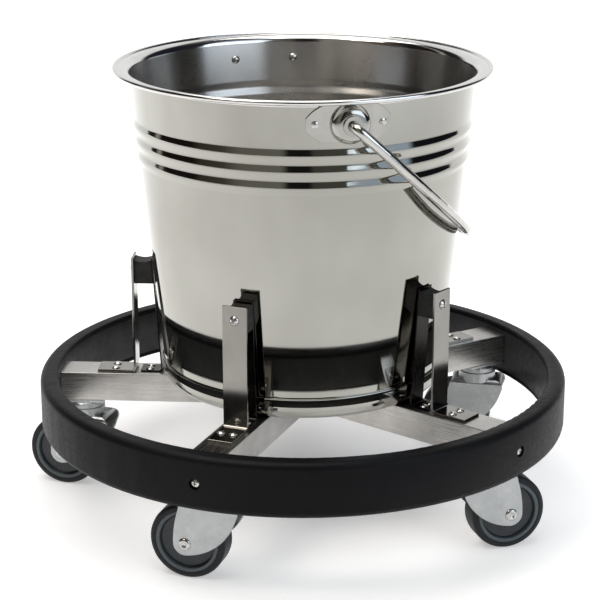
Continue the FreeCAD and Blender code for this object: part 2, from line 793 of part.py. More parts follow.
def make_rubber_block(number):
    body = new_body(f"rubber_block_{number}", arm_top, arm_angle(number))
    upper = cell("holder_height") - cell("block_drop")
    lower = upper - cell("block_height")
    outer = upright_radius
    half_top = (outer - strip_outside(upper)) / 2
    side_view = outline(
        new_sketch(body, "SideView", "XZ"),
        (strip_outside(lower), lower), (outer, lower), (outer, upper),
        (strip_outside(upper), upper, cap_radius(half_top, cell("block_sag")), -1))
    pad(body, "Block", side_view, cell("strip_width"), both_ways=True)
    screw_hole = circle(
        new_sketch(body, "ScrewHole", "YZ", (0, 0, outer)),
        0, cell("holder_height") - cell("block_screw_drop"), cell("screw_diameter"))
    cut(body, "ScrewHoleCut", screw_hole, depth=cell("block_screw_depth"))
    return body


uprights = [make_upright(number) for number in range(1, ARMS + 1)]
spring_strips = [make_spring_strip(number) for number in range(1, ARMS + 1)]
rubber_blocks = [make_rubber_block(number) for number in range(1, ARMS + 1)]

block_screws = new_body(
    "block_screws", arm_top + cell("holder_height") - cell("block_screw_drop"), 90.0)
screw_tip = upright_radius - cell("block_screw_depth")
screw_face = upright_radius + cell("upright_sheet")
block_screw = outline(
    new_sketch(block_screws, "ScrewOutline", "XZ"),
    (screw_tip, 0), (screw_tip, cell("screw_diameter") / 2),
    (screw_face, cell("screw_diameter") / 2), (screw_face, screw_edge),
    (screw_face + cell("block_screw_dome"), 0,
     cap_radius(screw_edge, cell("block_screw_dome")), -1))
repeat_round(block_screws, "ScrewsRound", [spin(block_screws, "Screw", block_screw, "H_Axis")], ARMS)

foot_rivets = new_body("foot_rivets", arm_top, 90.0)
originals = []
for name, place in foot_rivet_places.items():
    for side in (0, 1):
        across = (1 - 2 * side) * cell(f"{name}_rivet_pitch") / 2
        foot_rivet = rivet_outline(
            new_sketch(foot_rivets, f"{name}{side}", "YZ", (across, cell(f"{name}_sheet"), place)),
            cell(f"{name}_sheet") + cell("arm_sheet"))
        originals.append(spin(foot_rivets, f"{name}Rivet{side}", foot_rivet))
repeat_round(foot_rivets, "RivetsRound", originals, ARMS)


# ---------------------------------------------------------------- casters
def make_caster_plate(number):
    """Plate under the arm, the upper race, and the king pin with its head under the fork."""
    body = new_body(f"castor_plate_{number}", arm_underside, arm_angle(number))
    half_length = cell("plate_length") / 2
    plate = outline(
        new_sketch(body, "PlateOutline", "XY"),
        (caster_radius - half_length, -arm_half), (caster_radius + half_length, -arm_half),
        (caster_radius + half_length, arm_half), (caster_radius - half_length, arm_half))
    plate_pad = pad(body, "Plate", plate, cell("plate_thickness"))
    plate_pad.Reversed = True
    race_top = -cell("plate_thickness")
    race_low = race_top - cell("race_height")
    seat = crown_top - cell("crown_sheet") - arm_underside - cell("pin_play")
    pin = cell("pin_diameter") / 2
    race = cell("race_diameter") / 2
    stem = outline(
        new_sketch(body, "StemSection", "XZ", (caster_radius, 0, 0)),
        (0, race_top), (race - cell("race_edge"), race_top), (race, race_top - cell("race_edge")),
        (race, race_low), (pin, race_low), (pin, seat), (cell("pin_head") / 2, seat),
        (cell("pin_head") / 2, seat - cell("pin_head_height")),
        (0, seat - cell("pin_head_height")))
    spin(body, "Stem", stem)
    return body


caster_plates = [make_caster_plate(number) for number in range(1, ARMS + 1)]


def meeting_point(x, z, belly, centre_x, centre_z, radius):
    """Where a wide arc that bellies out from a point runs into the underside of a circle."""
    run, rise = x - centre_x, z - centre_z
    apart = run * run + rise * rise
    longer = belly - radius
    along = (apart + radius * radius - 2 * belly * radius) / (2 * apart)
    off = root(longer * longer / apart - along * along)
    return (centre_x - radius * (along * run + off * rise) / longer,
            centre_z - radius * (along * rise - off * run) / longer)


def make_caster_fork(number, heading):
    angle = math.radians(arm_angle(number))
    body = new_body(
        f"castor_fork_{number}", 0, heading,
        caster_radius * math.cos(angle), caster_radius * math.sin(angle))
    back = cell("fork_back")
    nose = cell("fork_nose")
    front = cell("caster_trail") + nose
    front_round = cell("fork_front_round")
    back_round = cell("fork_back_round")
    belly = cell("fork_belly")
    bow = cell("fork_bow")
    hip = (-cell("fork_hip_x"), crown_top - cell("fork_hip_drop"))
    bow_rise = crown_top - front_round - wheel_radius
    bow_top = front - bow + root(bow * bow - bow_rise * bow_rise)
    side_view = outline(
        new_sketch(body, "SideView", "XZ"),
        hip, (*meeting_point(*hip, belly, cell("caster_trail"), wheel_radius, nose), belly, 1),
        (front, wheel_radius, nose, 1), (bow_top, crown_top - front_round, bow, 1),
        (bow_top - front_round, crown_top, front_round, 1),
        (back_round - back, crown_top), (-back, crown_top - back_round, back_round, 1))
    pad(body, "Outer", side_view, 2 * cheek_outside, both_ways=True)
    shoulder = cell("fork_shoulder")
    corners = new_sketch(body, "ShoulderCorners", "YZ")
    for side in (-1, 1):
        outline(
            corners, (side * cheek_outside, crown_top - shoulder),
            (side * (cheek_outside - shoulder), crown_top, shoulder, side),
            (side * cheek_outside, crown_top))
    cut(body, "Shoulders", corners, both_ways=True)
    wheel_space = outline(
        new_sketch(body, "WheelSpace", "XZ"),
        (-2 * back, 0), (2 * front, 0), (2 * front, crown_top - cell("crown_sheet")),
        (-2 * back, crown_top - cell("crown_sheet")))
    cut(body, "WheelSpaceCut", wheel_space, both_ways=True, depth=2 * cheek_inside)
    race = circle(
        new_sketch(body, "RaceOutline", "XY", (0, 0, crown_top - cell("crown_sheet"))),
        0, 0, cell("race_diameter"))
    pad(body, "LowerRace", race,
        upper_race - cell("race_gap") - crown_top + cell("crown_sheet"))
    pin_hole = circle(
        new_sketch(body, "PinHole", "XY"),
        0, 0, cell("pin_diameter") + 2 * cell("pin_clearance"))
    cut(body, "PinHoleCut", pin_hole, forwards=True)
    axle_hole = circle(
        new_sketch(body, "AxleHole", "XZ"),
        cell("caster_trail"), wheel_radius, cell("axle_diameter"))
    cut(body, "AxleHoleCut", axle_hole, both_ways=True)
    return body


def at_axle(label, number, heading):
    """A body whose Y axis is the axle of a caster."""
    angle = math.radians(arm_angle(number))
    turn = math.radians(heading)
    trail = cell("caster_trail")
    return new_body(
        label, wheel_radius, heading,
        caster_radius * math.cos(angle) + trail * math.cos(turn),
        caster_radius * math.sin(angle) + trail * math.sin(turn))


def make_caster_axle(number, heading):
    body = at_axle(f"castor_axle_{number}", number, heading)
    pin = cell("axle_diameter") / 2
    edge = cell("axle_head") / 2
    end = cheek_outside + cell("axle_head_height")
    section = outline(
        new_sketch(body, "Section", "YZ"),
        (-end, 0), (-end, edge - cell("axle_head_edge")),
        (cell("axle_head_edge") - end, edge), (-cheek_outside, edge), (-cheek_outside, pin),
        (cheek_outside, pin), (cheek_outside, edge), (end - cell("axle_head_edge"), edge),
        (end, edge - cell("axle_head_edge")), (end, 0))
    spin(body, "Axle", section, "H_Axis")
    return body


def make_caster_wheel(number, heading):
    body = at_axle(f"castor_wheel_{number}", number, heading)
    bore = cell("axle_diameter") / 2 + cell("axle_clearance")
    boss = cell("boss_diameter") / 2
    boss_half = cell("boss_length") / 2
    half = cell("wheel_width") / 2
    web = half - cell("dish_depth")
    core = wheel_radius - cell("tyre_depth")
    lip = core - cell("core_lip")
    foot = boss + cell("boss_flare")
    section = outline(
        new_sketch(body, "Section", "YZ"),
        (-boss_half, bore), (boss_half, bore), (boss_half, boss), (half, boss),
        (web, foot), (web, lip), (half, lip), (half, core), (-half, core), (-half, lip),
        (-web, lip), (-web, foot), (-half, boss), (-boss_half, boss))
    spin(body, "Wheel", section, "H_Axis")
    return body


def make_caster_tyre(number, heading):
    body = at_axle(f"castor_tyre_{number}", number, heading)
    half = cell("wheel_width") / 2
    core = wheel_radius - cell("tyre_depth")
    soft_edge = cell("tyre_round")
    section = outline(
        new_sketch(body, "Section", "YZ"),
        (-half, core), (half, core), (half, wheel_radius - soft_edge),
        (half - soft_edge, wheel_radius, soft_edge, 1),
        (soft_edge - half, wheel_radius), (-half, wheel_radius - soft_edge, soft_edge, 1))
    spin(body, "Tyre", section, "H_Axis")
    return body


for number, heading in enumerate(CASTER_HEADINGS, start=1):
    make_caster_fork(number, heading)
    make_caster_axle(number, heading)
    make_caster_wheel(number, heading)
    make_caster_tyre(number, heading)


# ---------------------------------------------------------------- checks and files
doc.recompute()
os.makedirs("parts", exist_ok=True)
REMOVERS = ("PartDesign::Pocket", "PartDesign::Groove")
for thing in doc.Objects:
    if "Invalid" in thing.State or "Error" in thing.State:
        raise RuntimeError(f"{thing.Label}: {thing.State}")
    if thing.TypeId in REMOVERS and thing.BaseFeature.Shape.Volume <= thing.Shape.Volume:
        raise RuntimeError(f"{thing.Label} of {thing.getParentGeoFeatureGroup().Label} removes nothing")
bodies = [thing for thing in doc.Objects if thing.TypeId == "PartDesign::Body"]
for body in bodies:
    if body.Shape.isNull() or not body.Shape.isValid():
        raise RuntimeError(f"{body.Label} has no valid shape")
    body.Shape.exportStep(f"parts/{body.Label}.step")
print(len(bodies), "parts written")
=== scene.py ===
import math

import bmesh
import bpy
from mathutils import Matrix, Vector


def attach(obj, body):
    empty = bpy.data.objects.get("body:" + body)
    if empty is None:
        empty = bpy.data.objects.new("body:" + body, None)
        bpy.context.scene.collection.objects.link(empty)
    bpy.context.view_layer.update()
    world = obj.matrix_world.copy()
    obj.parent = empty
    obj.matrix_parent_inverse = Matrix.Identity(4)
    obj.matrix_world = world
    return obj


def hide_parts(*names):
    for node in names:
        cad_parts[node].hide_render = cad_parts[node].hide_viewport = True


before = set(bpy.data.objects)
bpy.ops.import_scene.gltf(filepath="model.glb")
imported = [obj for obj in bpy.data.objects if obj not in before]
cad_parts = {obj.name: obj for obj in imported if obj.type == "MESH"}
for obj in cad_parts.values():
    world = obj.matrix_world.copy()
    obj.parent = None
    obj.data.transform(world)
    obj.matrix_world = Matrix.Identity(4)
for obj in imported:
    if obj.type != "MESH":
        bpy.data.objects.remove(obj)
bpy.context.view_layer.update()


# ---------------------------------------------------------------- studio
# A smooth pale floor before a white wall, in a dim room with a window to the right. One
# wide soft lamp hangs overhead and a softer one stands at each side; the camera has a long lens.
scene = bpy.context.scene
scene.view_settings.view_transform = "Standard"

camera_data = bpy.data.cameras.new("studio_camera")
camera_data.lens = 112.5
camera_data.sensor_width = 36.0
camera_data.shift_x = -0.0048
camera_data.clip_end = 60.0
camera = bpy.data.objects.new("studio_camera", camera_data)
camera.location = (-0.3628, -1.4132, 0.6311)
camera.rotation_euler = (math.radians(72.29), 0.0, math.radians(-14.4))
scene.collection.objects.link(camera)
scene.camera = camera


def studio_lamp(name, place, aim, width, depth, power, colour):
    data = bpy.data.lights.new(name, "AREA")
    data.shape = "RECTANGLE"
    data.size, data.size_y = width, depth
    data.energy = power
    data.color = colour
    lamp = bpy.data.objects.new(name, data)
    lamp.location = place
    lamp.rotation_euler = (Vector(aim) - Vector(place)).to_track_quat("-Z", "Y").to_euler()
    scene.collection.objects.link(lamp)
    return lamp


studio_lamp("overhead_softbox", (-0.3, 0.1, 2.6), aim=(0, 0, 0.1), width=2.6, depth=2.2,
            power=50, colour=(1.0, 0.985, 0.965))
studio_lamp("left_softbox", (-1.5, -0.5, 2.5), aim=(0, 0, 0.2), width=1.0, depth=1.0,
            power=14, colour=(1.0, 0.90, 0.80))
studio_lamp("right_softbox", (1.43, -1.90, 1.36), aim=(0, 0, 0.3), width=2.2, depth=1.4,
            power=15, colour=(0.84, 0.92, 1.0))

room = bpy.data.worlds.new("studio_room")
room.use_nodes = True
scene.world = room
room_nodes, room_links = room.node_tree.nodes, room.node_tree.links
room_way = room_nodes.new("ShaderNodeTexCoord")
room_parts = room_nodes.new("ShaderNodeSeparateXYZ")
room_links.new(room_way.outputs["Generated"], room_parts.inputs["Vector"])
# the compass round the room by the left: 0 is the front wall, 0.25 the left one, 0.5 the back one
compass = room_nodes.new("ShaderNodeMath")
compass.operation = "ARCTAN2"
room_links.new(room_parts.outputs["X"], compass.inputs[0])
room_links.new(room_parts.outputs["Y"], compass.inputs[1])
share_round = room_nodes.new("ShaderNodeMapRange")
share_round.inputs["From Min"].default_value = -math.pi
share_round.inputs["From Max"].default_value = math.pi
room_links.new(compass.outputs[0], share_round.inputs["Value"])
WALL_TONES = (
    (0.000, (0.10, 0.095, 0.08)), (0.020, (0.09, 0.085, 0.07)), (0.028, (0.015, 0.015, 0.015)),
    (0.066, (0.015, 0.015, 0.015)), (0.080, (0.24, 0.235, 0.20)), (0.155, (0.22, 0.21, 0.18)),
    (0.190, (0.09, 0.08, 0.065)), (0.240, (0.06, 0.05, 0.04)), (0.256, (0.015, 0.012, 0.012)),
    (0.338, (0.015, 0.012, 0.012)), (0.346, (0.45, 0.42, 0.38)), (0.352, (0.45, 0.42, 0.38)),
    (0.360, (0.015, 0.012, 0.012)), (0.415, (0.02, 0.02, 0.02)), (0.440, (0.90, 0.90, 0.90)),
    (0.640, (0.92, 0.92, 0.92)), (0.665, (0.02, 0.02, 0.024)), (0.752, (0.012, 0.012, 0.018)),
    (0.824, (0.012, 0.011, 0.013)), (0.838, (0.55, 0.66, 0.82)), (0.945, (0.58, 0.67, 0.80)),
    (0.960, (0.10, 0.10, 0.09)))
walls = room_nodes.new("ShaderNodeValToRGB")
for step, (position, colour) in enumerate(WALL_TONES):
    stops = walls.color_ramp.elements
    stop = stops[step] if step < 2 else stops.new(position)
    stop.position = position
    stop.color = (*colour, 1)
room_links.new(share_round.outputs["Result"], walls.inputs["Fac"])
ceiling = room_nodes.new("ShaderNodeMapRange")
ceiling.interpolation_type = "SMOOTHSTEP"
ceiling.inputs["From Min"].default_value = 0.62
ceiling.inputs["From Max"].default_value = 0.90
room_links.new(room_parts.outputs["Z"], ceiling.inputs["Value"])
room_tone = room_nodes.new("ShaderNodeMix")
room_tone.data_type = "RGBA"
room_tone.inputs["B"].default_value = (0.07, 0.07, 0.072, 1)
room_links.new(ceiling.outputs["Result"], room_tone.inputs["Factor"])
room_links.new(walls.outputs["Color"], room_tone.inputs["A"])
room_links.new(room_tone.outputs["Result"], room_nodes["Background"].inputs["Color"])
room_nodes["Background"].inputs["Strength"].default_value = 1.0

FLOOR_RADIUS = 9.0
floor_skin = bmesh.new()
bmesh.ops.create_circle(floor_skin, cap_ends=True, radius=FLOOR_RADIUS, segments=96)
floor_mesh = bpy.data.meshes.new("studio_floor")
floor_skin.to_mesh(floor_mesh)
floor_skin.free()
studio_floor = bpy.data.objects.new("studio_floor", floor_mesh)
scene.collection.objects.link(studio_floor)


def new_finish(name, colour, roughness, metallic=0.0):
    """A material with its shader, and its node and link lists."""
    material = bpy.data.materials.new(name)
    material.use_nodes = True
    material.diffuse_color = (*colour, 1.0)
    nodes, links = material.node_tree.nodes, material.node_tree.links
    shader = nodes["Principled BSDF"]
    shader.inputs["Base Color"].default_value = (*colour, 1.0)
    shader.inputs["Roughness"].default_value = roughness
    shader.inputs["Metallic"].default_value = metallic
    return material, nodes, links, shader


floor_finish, nodes, links, shader = new_finish("studio_floor_paint", (0.86, 0.86, 0.87), 0.62)
shader.inputs["Specular IOR Level"].default_value = 0.25
floor_place = nodes.new("ShaderNodeTexCoord")
floor_cloud = nodes.new("ShaderNodeTexNoise")
floor_cloud.inputs["Scale"].default_value = 2.2
floor_cloud.inputs["Detail"].default_value = 2.0
floor_tone = nodes.new("ShaderNodeValToRGB")
floor_tone.color_ramp.elements[0].position = 0.35
floor_tone.color_ramp.elements[0].color = (0.80, 0.795, 0.80, 1)
floor_tone.color_ramp.elements[1].position = 0.65
floor_tone.color_ramp.elements[1].color = (0.88, 0.88, 0.88, 1)
links.new(floor_place.outputs["Object"], floor_cloud.inputs["Vector"])
links.new(floor_cloud.outputs["Fac"], floor_tone.inputs["Fac"])
links.new(floor_tone.outputs["Color"], shader.inputs["Base Color"])
# seen by the camera and in the metal, the floor glows with painted light: brighter towards the
# back of the room, and held back round a spot behind the middle, so the shade there is partly
# painted shadow
seen = nodes.new("ShaderNodeLightPath")
seen_or_mirrored = nodes.new("ShaderNodeMath")
seen_or_mirrored.operation = "MAXIMUM"
links.new(seen.outputs["Is Camera Ray"], seen_or_mirrored.inputs[0])
links.new(seen.outputs["Is Glossy Ray"], seen_or_mirrored.inputs[1])
seen_in_any_way = nodes.new("ShaderNodeMath")
seen_in_any_way.operation = "MAXIMUM"
links.new(seen_or_mirrored.outputs[0], seen_in_any_way.inputs[0])
links.new(seen.outputs["Is Transmission Ray"], seen_in_any_way.inputs[1])
floor_parts = nodes.new("ShaderNodeSeparateXYZ")
links.new(floor_place.outputs["Object"], floor_parts.inputs["Vector"])
back_light = nodes.new("ShaderNodeMapRange")
back_light.inputs["From Min"].default_value = -0.5
back_light.inputs["From Max"].default_value = 1.6
back_light.inputs["To Min"].default_value = 0.02
back_light.inputs["To Max"].default_value = 0.75
links.new(floor_parts.outputs["Y"], back_light.inputs["Value"])
from_shade = nodes.new("ShaderNodeVectorMath")
from_shade.operation = "DISTANCE"
from_shade.inputs[1].default_value = (0.0, 0.12, 0.0)
links.new(floor_place.outputs["Object"], from_shade.inputs[0])
# the glow held back round this spot behind the middle paints the floor's shadow there deeper
painted_glow_round_shade = nodes.new("ShaderNodeMapRange")
painted_glow_round_shade.interpolation_type = "SMOOTHSTEP"
painted_glow_round_shade.inputs["From Min"].default_value = 0.05
painted_glow_round_shade.inputs["From Max"].default_value = 0.30
painted_glow_round_shade.inputs["To Max"].default_value = 0.28
links.new(from_shade.outputs["Value"], painted_glow_round_shade.inputs["Value"])
lift = nodes.new("ShaderNodeMath")
lift.operation = "ADD"
links.new(back_light.outputs["Result"], lift.inputs[0])
links.new(painted_glow_round_shade.outputs["Result"], lift.inputs[1])
added_light = nodes.new("ShaderNodeMath")
added_light.operation = "MULTIPLY"
links.new(lift.outputs[0], added_light.inputs[0])
links.new(seen_in_any_way.outputs[0], added_light.inputs[1])
links.new(added_light.outputs[0], shader.inputs["Emission Strength"])
shader.inputs["Emission Color"].default_value = (1.0, 1.0, 1.0, 1.0)
floor_mesh.materials.append(floor_finish)


# ---------------------------------------------------------------- arms and hub plate
# Five arms of 2 mm stainless sheet folded to a channel, open downwards, satin ground along their
# length. A round plate on top ties their inner ends, with one domed rivet to each arm.
ARMS = 5
ARM_TOP = 0.103
FOLD_EASE = 0.0006
PLATE_EASE = 0.0004
HUB_RIVET_CIRCLE = 0.036
HUB_PLATE_TOP = 0.106
STEEL_GREY = (0.60, 0.59, 0.57)


def new_object(name, mesh):
    thing = bpy.data.objects.new(name, mesh)
    scene.collection.objects.link(thing)
    return thing


def plain_mesh(thing, name):
    """The mesh that an object's modifiers give, as plain data, and the object taken away."""
    worked = bpy.context.evaluated_depsgraph_get()
    mesh = bpy.data.meshes.new_from_object(
        thing.evaluated_get(worked), preserve_all_data_layers=True, depsgraph=worked)
    mesh.name = name
    old = thing.data
    bpy.data.objects.remove(thing)
    bpy.data.meshes.remove(old)
    return mesh


def eased_copy(node, ease, name, turn=Matrix(), bend=32.0):
    """A node's solid with its sharp edges broken, and its own lie kept as its grain's way."""
    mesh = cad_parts[node].data.copy()
    mesh.materials.clear()
    if "custom_normal" in mesh.attributes:
        mesh.attributes.remove(mesh.attributes["custom_normal"])
    skin = bmesh.new()
    skin.from_mesh(mesh)
    bmesh.ops.remove_doubles(skin, verts=skin.verts, dist=3e-6)
    bmesh.ops.dissolve_limit(
        skin, angle_limit=math.radians(0.3), verts=skin.verts, edges=skin.edges)
    for face in skin.faces:
        face.smooth = True
    skin.to_mesh(mesh)
    skin.free()
    thing = new_object(name, mesh)
    if ease:
        broken = thing.modifiers.new("broken_edges", "BEVEL")
        broken.width = ease
        broken.segments = 2
        broken.limit_method = "ANGLE"
        broken.angle_limit = math.radians(bend)
        broken.use_clamp_overlap = False
        broken.harden_normals = True
    eased = plain_mesh(thing, name)
    grain = eased.attributes.new("grain", "FLOAT_VECTOR", "POINT")
    places = [turn @ vertex.co for vertex in eased.vertices]
    grain.data.foreach_set("vector", [part for place in places for part in place])
    return eased


class Tree:
    """A geometry node tree with named inputs, built link by link."""

    def __init__(self, name, **inputs):
        self.tree = bpy.data.node_groups.new(name, "GeometryNodeTree")
        sockets = self.tree.interface
        sockets.new_socket("Geometry", in_out="INPUT", socket_type="NodeSocketGeometry")
        for label, kind in inputs.items():
            sockets.new_socket(label.replace("_", " "), in_out="INPUT",
                               socket_type=f"NodeSocket{kind}")
        sockets.new_socket("Geometry", in_out="OUTPUT", socket_type="NodeSocketGeometry")
        self.given = self.tree.nodes.new("NodeGroupInput").outputs

    def add(self, kind, settings=None, **inputs):
        """A node, its settings, and its inputs by name: a value, or the socket that feeds it."""
        node = self.tree.nodes.new(kind)
        for label, value in (settings or {}).items():
            setattr(node, label, value)
        for label, value in inputs.items():
            wanted = label.replace("_", " ")
            socket = node.inputs[int(wanted[1:])] if wanted[1:].isdigit() else node.inputs[wanted]
            if isinstance(value, bpy.types.NodeSocket):
                self.tree.links.new(value, socket)
            else:
                socket.default_value = value
        return node

    def math(self, operation, first, second=0.0):
        return self.add("ShaderNodeMath", {"operation": operation}, s0=first, s1=second).outputs[0]

    def finish(self, geometry):
        """Ends the tree in Realize Instances and Set Material."""
        real = self.add("GeometryNodeRealizeInstances", Geometry=geometry)
        dressed = self.add("GeometryNodeSetMaterial", Geometry=real.outputs["Geometry"],
                           Material=self.given["Material"])
        end = self.tree.nodes.new("NodeGroupOutput")
        self.tree.links.new(dressed.outputs["Geometry"], end.inputs["Geometry"])
        return self.tree


def grown(tree, mesh, name, **sizes):
    """Runs a tree over a mesh with the sizes given to its named inputs; gives a plain mesh."""
    thing = new_object(name, mesh)
    growth = thing.modifiers.new(name, "NODES")
    growth.node_group = tree
    sockets = {item.name: item.identifier for item in tree.interface.items_tree
               if item.in_out == "INPUT"}
    for label, value in sizes.items():
        growth[sockets[label.replace("_", " ")]] = value
    made = plain_mesh(thing, name)
    made.materials.clear()
    made.materials.append(sizes["Material"])
    made.polygons.foreach_set("material_index", [0] * len(made.polygons))
    return made


# one piece set again and again round the frame's axis
ring_of = Tree("repeat_round_the_axis", Count="Int", Material="Material")
places = ring_of.add("GeometryNodePoints", Count=ring_of.given["Count"])
share = ring_of.math("DIVIDE", math.tau, ring_of.given["Count"])
angle = ring_of.math("MULTIPLY", ring_of.add("GeometryNodeInputIndex").outputs["Index"], share)
facing = ring_of.add("ShaderNodeCombineXYZ", Z=angle)
copies = ring_of.add("GeometryNodeInstanceOnPoints", Points=places.outputs["Points"],
                     Instance=ring_of.given["Geometry"], Rotation=facing.outputs["Vector"])
repeat_round_axis = ring_of.finish(copies.outputs["Instances"])

# fine lines of grinding or polishing, and the broad unevenness under them
polish = bpy.data.node_groups.new("polishing_lines", "ShaderNodeTree")
for label, kind, value in (("Vector", "Vector", None), ("Along", "Float", 4.0),
                           ("Across", "Float", 900.0), ("Cloud Scale", "Float", 25.0)):
    socket = polish.interface.new_socket(label, in_out="INPUT", socket_type=f"NodeSocket{kind}")
    if value is not None:
        socket.default_value = value
for label in ("Lines", "Cloud"):
    polish.interface.new_socket(label, in_out="OUTPUT", socket_type="NodeSocketFloat")
polish_in = polish.nodes.new("NodeGroupInput").outputs
polish_out = polish.nodes.new("NodeGroupOutput").inputs
stretch = polish.nodes.new("ShaderNodeCombineXYZ")
stretched = polish.nodes.new("ShaderNodeVectorMath")
stretched.operation = "MULTIPLY"
line_noise = polish.nodes.new("ShaderNodeTexNoise")
line_noise.inputs["Scale"].default_value = 1.0
line_noise.inputs["Detail"].default_value = 3.0
line_noise.inputs["Roughness"].default_value = 0.6
cloud_noise = polish.nodes.new("ShaderNodeTexNoise")
cloud_noise.inputs["Detail"].default_value = 3.0
for source, target in (
        (polish_in["Along"], stretch.inputs["X"]), (polish_in["Across"], stretch.inputs["Y"]),
        (polish_in["Across"], stretch.inputs["Z"]), (polish_in["Vector"], stretched.inputs[0]),
        (stretch.outputs["Vector"], stretched.inputs[1]),
        (stretched.outputs["Vector"], line_noise.inputs["Vector"]),
        (polish_in["Vector"], cloud_noise.inputs["Vector"]),
        (polish_in["Cloud Scale"], cloud_noise.inputs["Scale"]),
        (line_noise.outputs["Fac"], polish_out["Lines"]),
        (cloud_noise.outputs["Fac"], polish_out["Cloud"])):
    polish.links.new(source, target)


def spread(nodes, links, value, low, high, start=0.3, end=0.7):
    """Takes a noise of about 0.3 to 0.7 to a range of its own."""
    scale = nodes.new("ShaderNodeMapRange")
    scale.inputs["From Min"].default_value = start
    scale.inputs["From Max"].default_value = end
    scale.inputs["To Min"].default_value = low
    scale.inputs["To Max"].default_value = high
    links.new(value, scale.inputs["Value"])
    return scale.outputs["Result"]


def two_tones(nodes, links, mask, dark, light):
    """Mixes two near colours by a mask."""
    mix = nodes.new("ShaderNodeMix")
    mix.data_type = "RGBA"
    mix.inputs["A"].default_value = (*dark, 1.0)
    mix.inputs["B"].default_value = (*light, 1.0)
    links.new(mask, mix.inputs["Factor"])
    return mix.outputs["Result"]


def toned(nodes, links, shader, tone_mask, dark, light, gloss_mask, low, high):
    """Colours a shader between two tones by one mask and spreads its roughness by another."""
    tones = two_tones(nodes, links, spread(nodes, links, tone_mask, 0, 1), dark, light)
    links.new(tones, shader.inputs["Base Color"])
    links.new(spread(nodes, links, gloss_mask, low, high), shader.inputs["Roughness"])


def raised(nodes, links, shader, height, depth, strength=1.0):
    """A bump of so many metres from a height that runs from 0 to 1."""
    bump = nodes.new("ShaderNodeBump")
    bump.inputs["Distance"].default_value = depth
    bump.inputs["Strength"].default_value = strength
    links.new(height, bump.inputs["Height"])
    links.new(bump.outputs["Normal"], shader.inputs["Normal"])
    return bump


def lie_of(nodes, name=None):
    """Object coordinates, or the piece's own attribute where the lines follow the piece."""
    if name is None:
        return nodes.new("ShaderNodeTexCoord").outputs["Object"]
    own = nodes.new("ShaderNodeAttribute")
    own.attribute_name = name
    return own.outputs["Vector"]


def lines_on(nodes, place, links, along, across, cloud):
    """Places the polishing lines in a material."""
    group = nodes.new("ShaderNodeGroup")
    group.node_tree = polish
    links.new(place, group.inputs["Vector"])
    group.inputs["Along"].default_value = along
    group.inputs["Across"].default_value = across
    group.inputs["Cloud Scale"].default_value = cloud
    return group.outputs


def satin_steel(name, dark, light, low, high):
    material, nodes, links, shader = new_finish(name, light, (low + high) / 2, 1.0)
    marks = lines_on(nodes, lie_of(nodes, "grain"), links, along=30.0, across=2600.0, cloud=38.0)
    toned(nodes, links, shader, marks["Cloud"], dark, light, marks["Lines"], low, high)
    raised(nodes, links, shader, marks["Lines"], depth=0.00002, strength=0.5)
    return material


arm_steel = satin_steel("satin_arm_steel", (0.40, 0.385, 0.365), (0.53, 0.515, 0.49), 0.20, 0.36)

arm_turn = Matrix.Rotation(math.radians(-90), 4, "Z")
one_arm = eased_copy("arm_5", FOLD_EASE, "one_arm", arm_turn)
arms = new_object("folded_arms", grown(
    repeat_round_axis, one_arm, "folded_arms", Count=ARMS, Material=arm_steel))
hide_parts(*[f"arm_{number}" for number in range(1, ARMS + 1)])
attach(arms, "frame")

plate_mesh = eased_copy("hub_plate", PLATE_EASE, "hub_tie_plate")
plate_mesh.materials.append(arm_steel)
hub_tie_plate = new_object("hub_tie_plate", plate_mesh)
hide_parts("hub_plate")
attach(hub_tie_plate, "frame")


def arc(centre_x, centre_z, radius, start, end, steps):
    """Points along an arc, both ends included, with its angles in degrees."""
    return [(centre_x + radius * math.cos(math.radians(start + (end - start) * step / steps)),
             centre_z + radius * math.sin(math.radians(start + (end - start) * step / steps)))
            for step in range(steps + 1)]


def rounded(*corners, steps=5):
    """An outline's points from its corners (x, z, radius), each corner rounded."""
    points = []
    for index, (x, z, radius) in enumerate(corners):
        here = Vector((x, z))
        if not radius:
            points.append((x, z))
            continue
        back = Vector(corners[index - 1][:2]) - here
        on = Vector(corners[(index + 1) % len(corners)][:2]) - here
        half = back.angle(on) / 2
        reach = radius / math.tan(half)
        start, end = here + back.normalized() * reach, here + on.normalized() * reach
        inwards = (back.normalized() + on.normalized()).normalized()
        centre = here + inwards * radius / math.sin(half)
        first, last = start - centre, end - centre
        for step in range(steps + 1):
            points.append(tuple(centre + first.slerp(last, step / steps) * radius))
    return points


# an outline (x out from the axis, z up) turned right round the Z axis into a skin
turning = Tree("turn_an_outline", Steps_Round="Int", Weld="Float", Material="Material")
outline_points = turning.add("GeometryNodeAttributeDomainSize",
                             Geometry=turning.given["Geometry"]).outputs["Point Count"]
rows = turning.math("ADD", turning.given["Steps Round"], 1.0)
lattice = turning.add("GeometryNodeMeshGrid", Vertices_X=outline_points, Vertices_Y=rows)
index = turning.add("GeometryNodeInputIndex").outputs["Index"]
along = turning.math("FLOOR", turning.math("DIVIDE", turning.math("ADD", index, 0.5), rows))
round_way = turning.math("FLOOR", turning.math(
    "MODULO", turning.math("ADD", index, 0.5), rows))
place = turning.add("GeometryNodeInputPosition").outputs["Position"]
taken = turning.add("GeometryNodeSampleIndex", {"data_type": "FLOAT_VECTOR"},
                    Geometry=turning.given["Geometry"], Index=along)
turning.tree.links.new(place, taken.inputs["Value"])
parts = turning.add("ShaderNodeSeparateXYZ", Vector=taken.outputs["Value"]).outputs
turn = turning.math("MULTIPLY", turning.math("DIVIDE", round_way, turning.given["Steps Round"]),
                    math.tau)
spot = turning.add("ShaderNodeCombineXYZ",
                   X=turning.math("MULTIPLY", parts["X"], turning.math("COSINE", turn)),
                   Y=turning.math("MULTIPLY", parts["X"], turning.math("SINE", turn)),
                   Z=parts["Z"])
skin = turning.add("GeometryNodeSetPosition", Geometry=lattice.outputs["Mesh"],
                   Position=spot.outputs["Vector"])
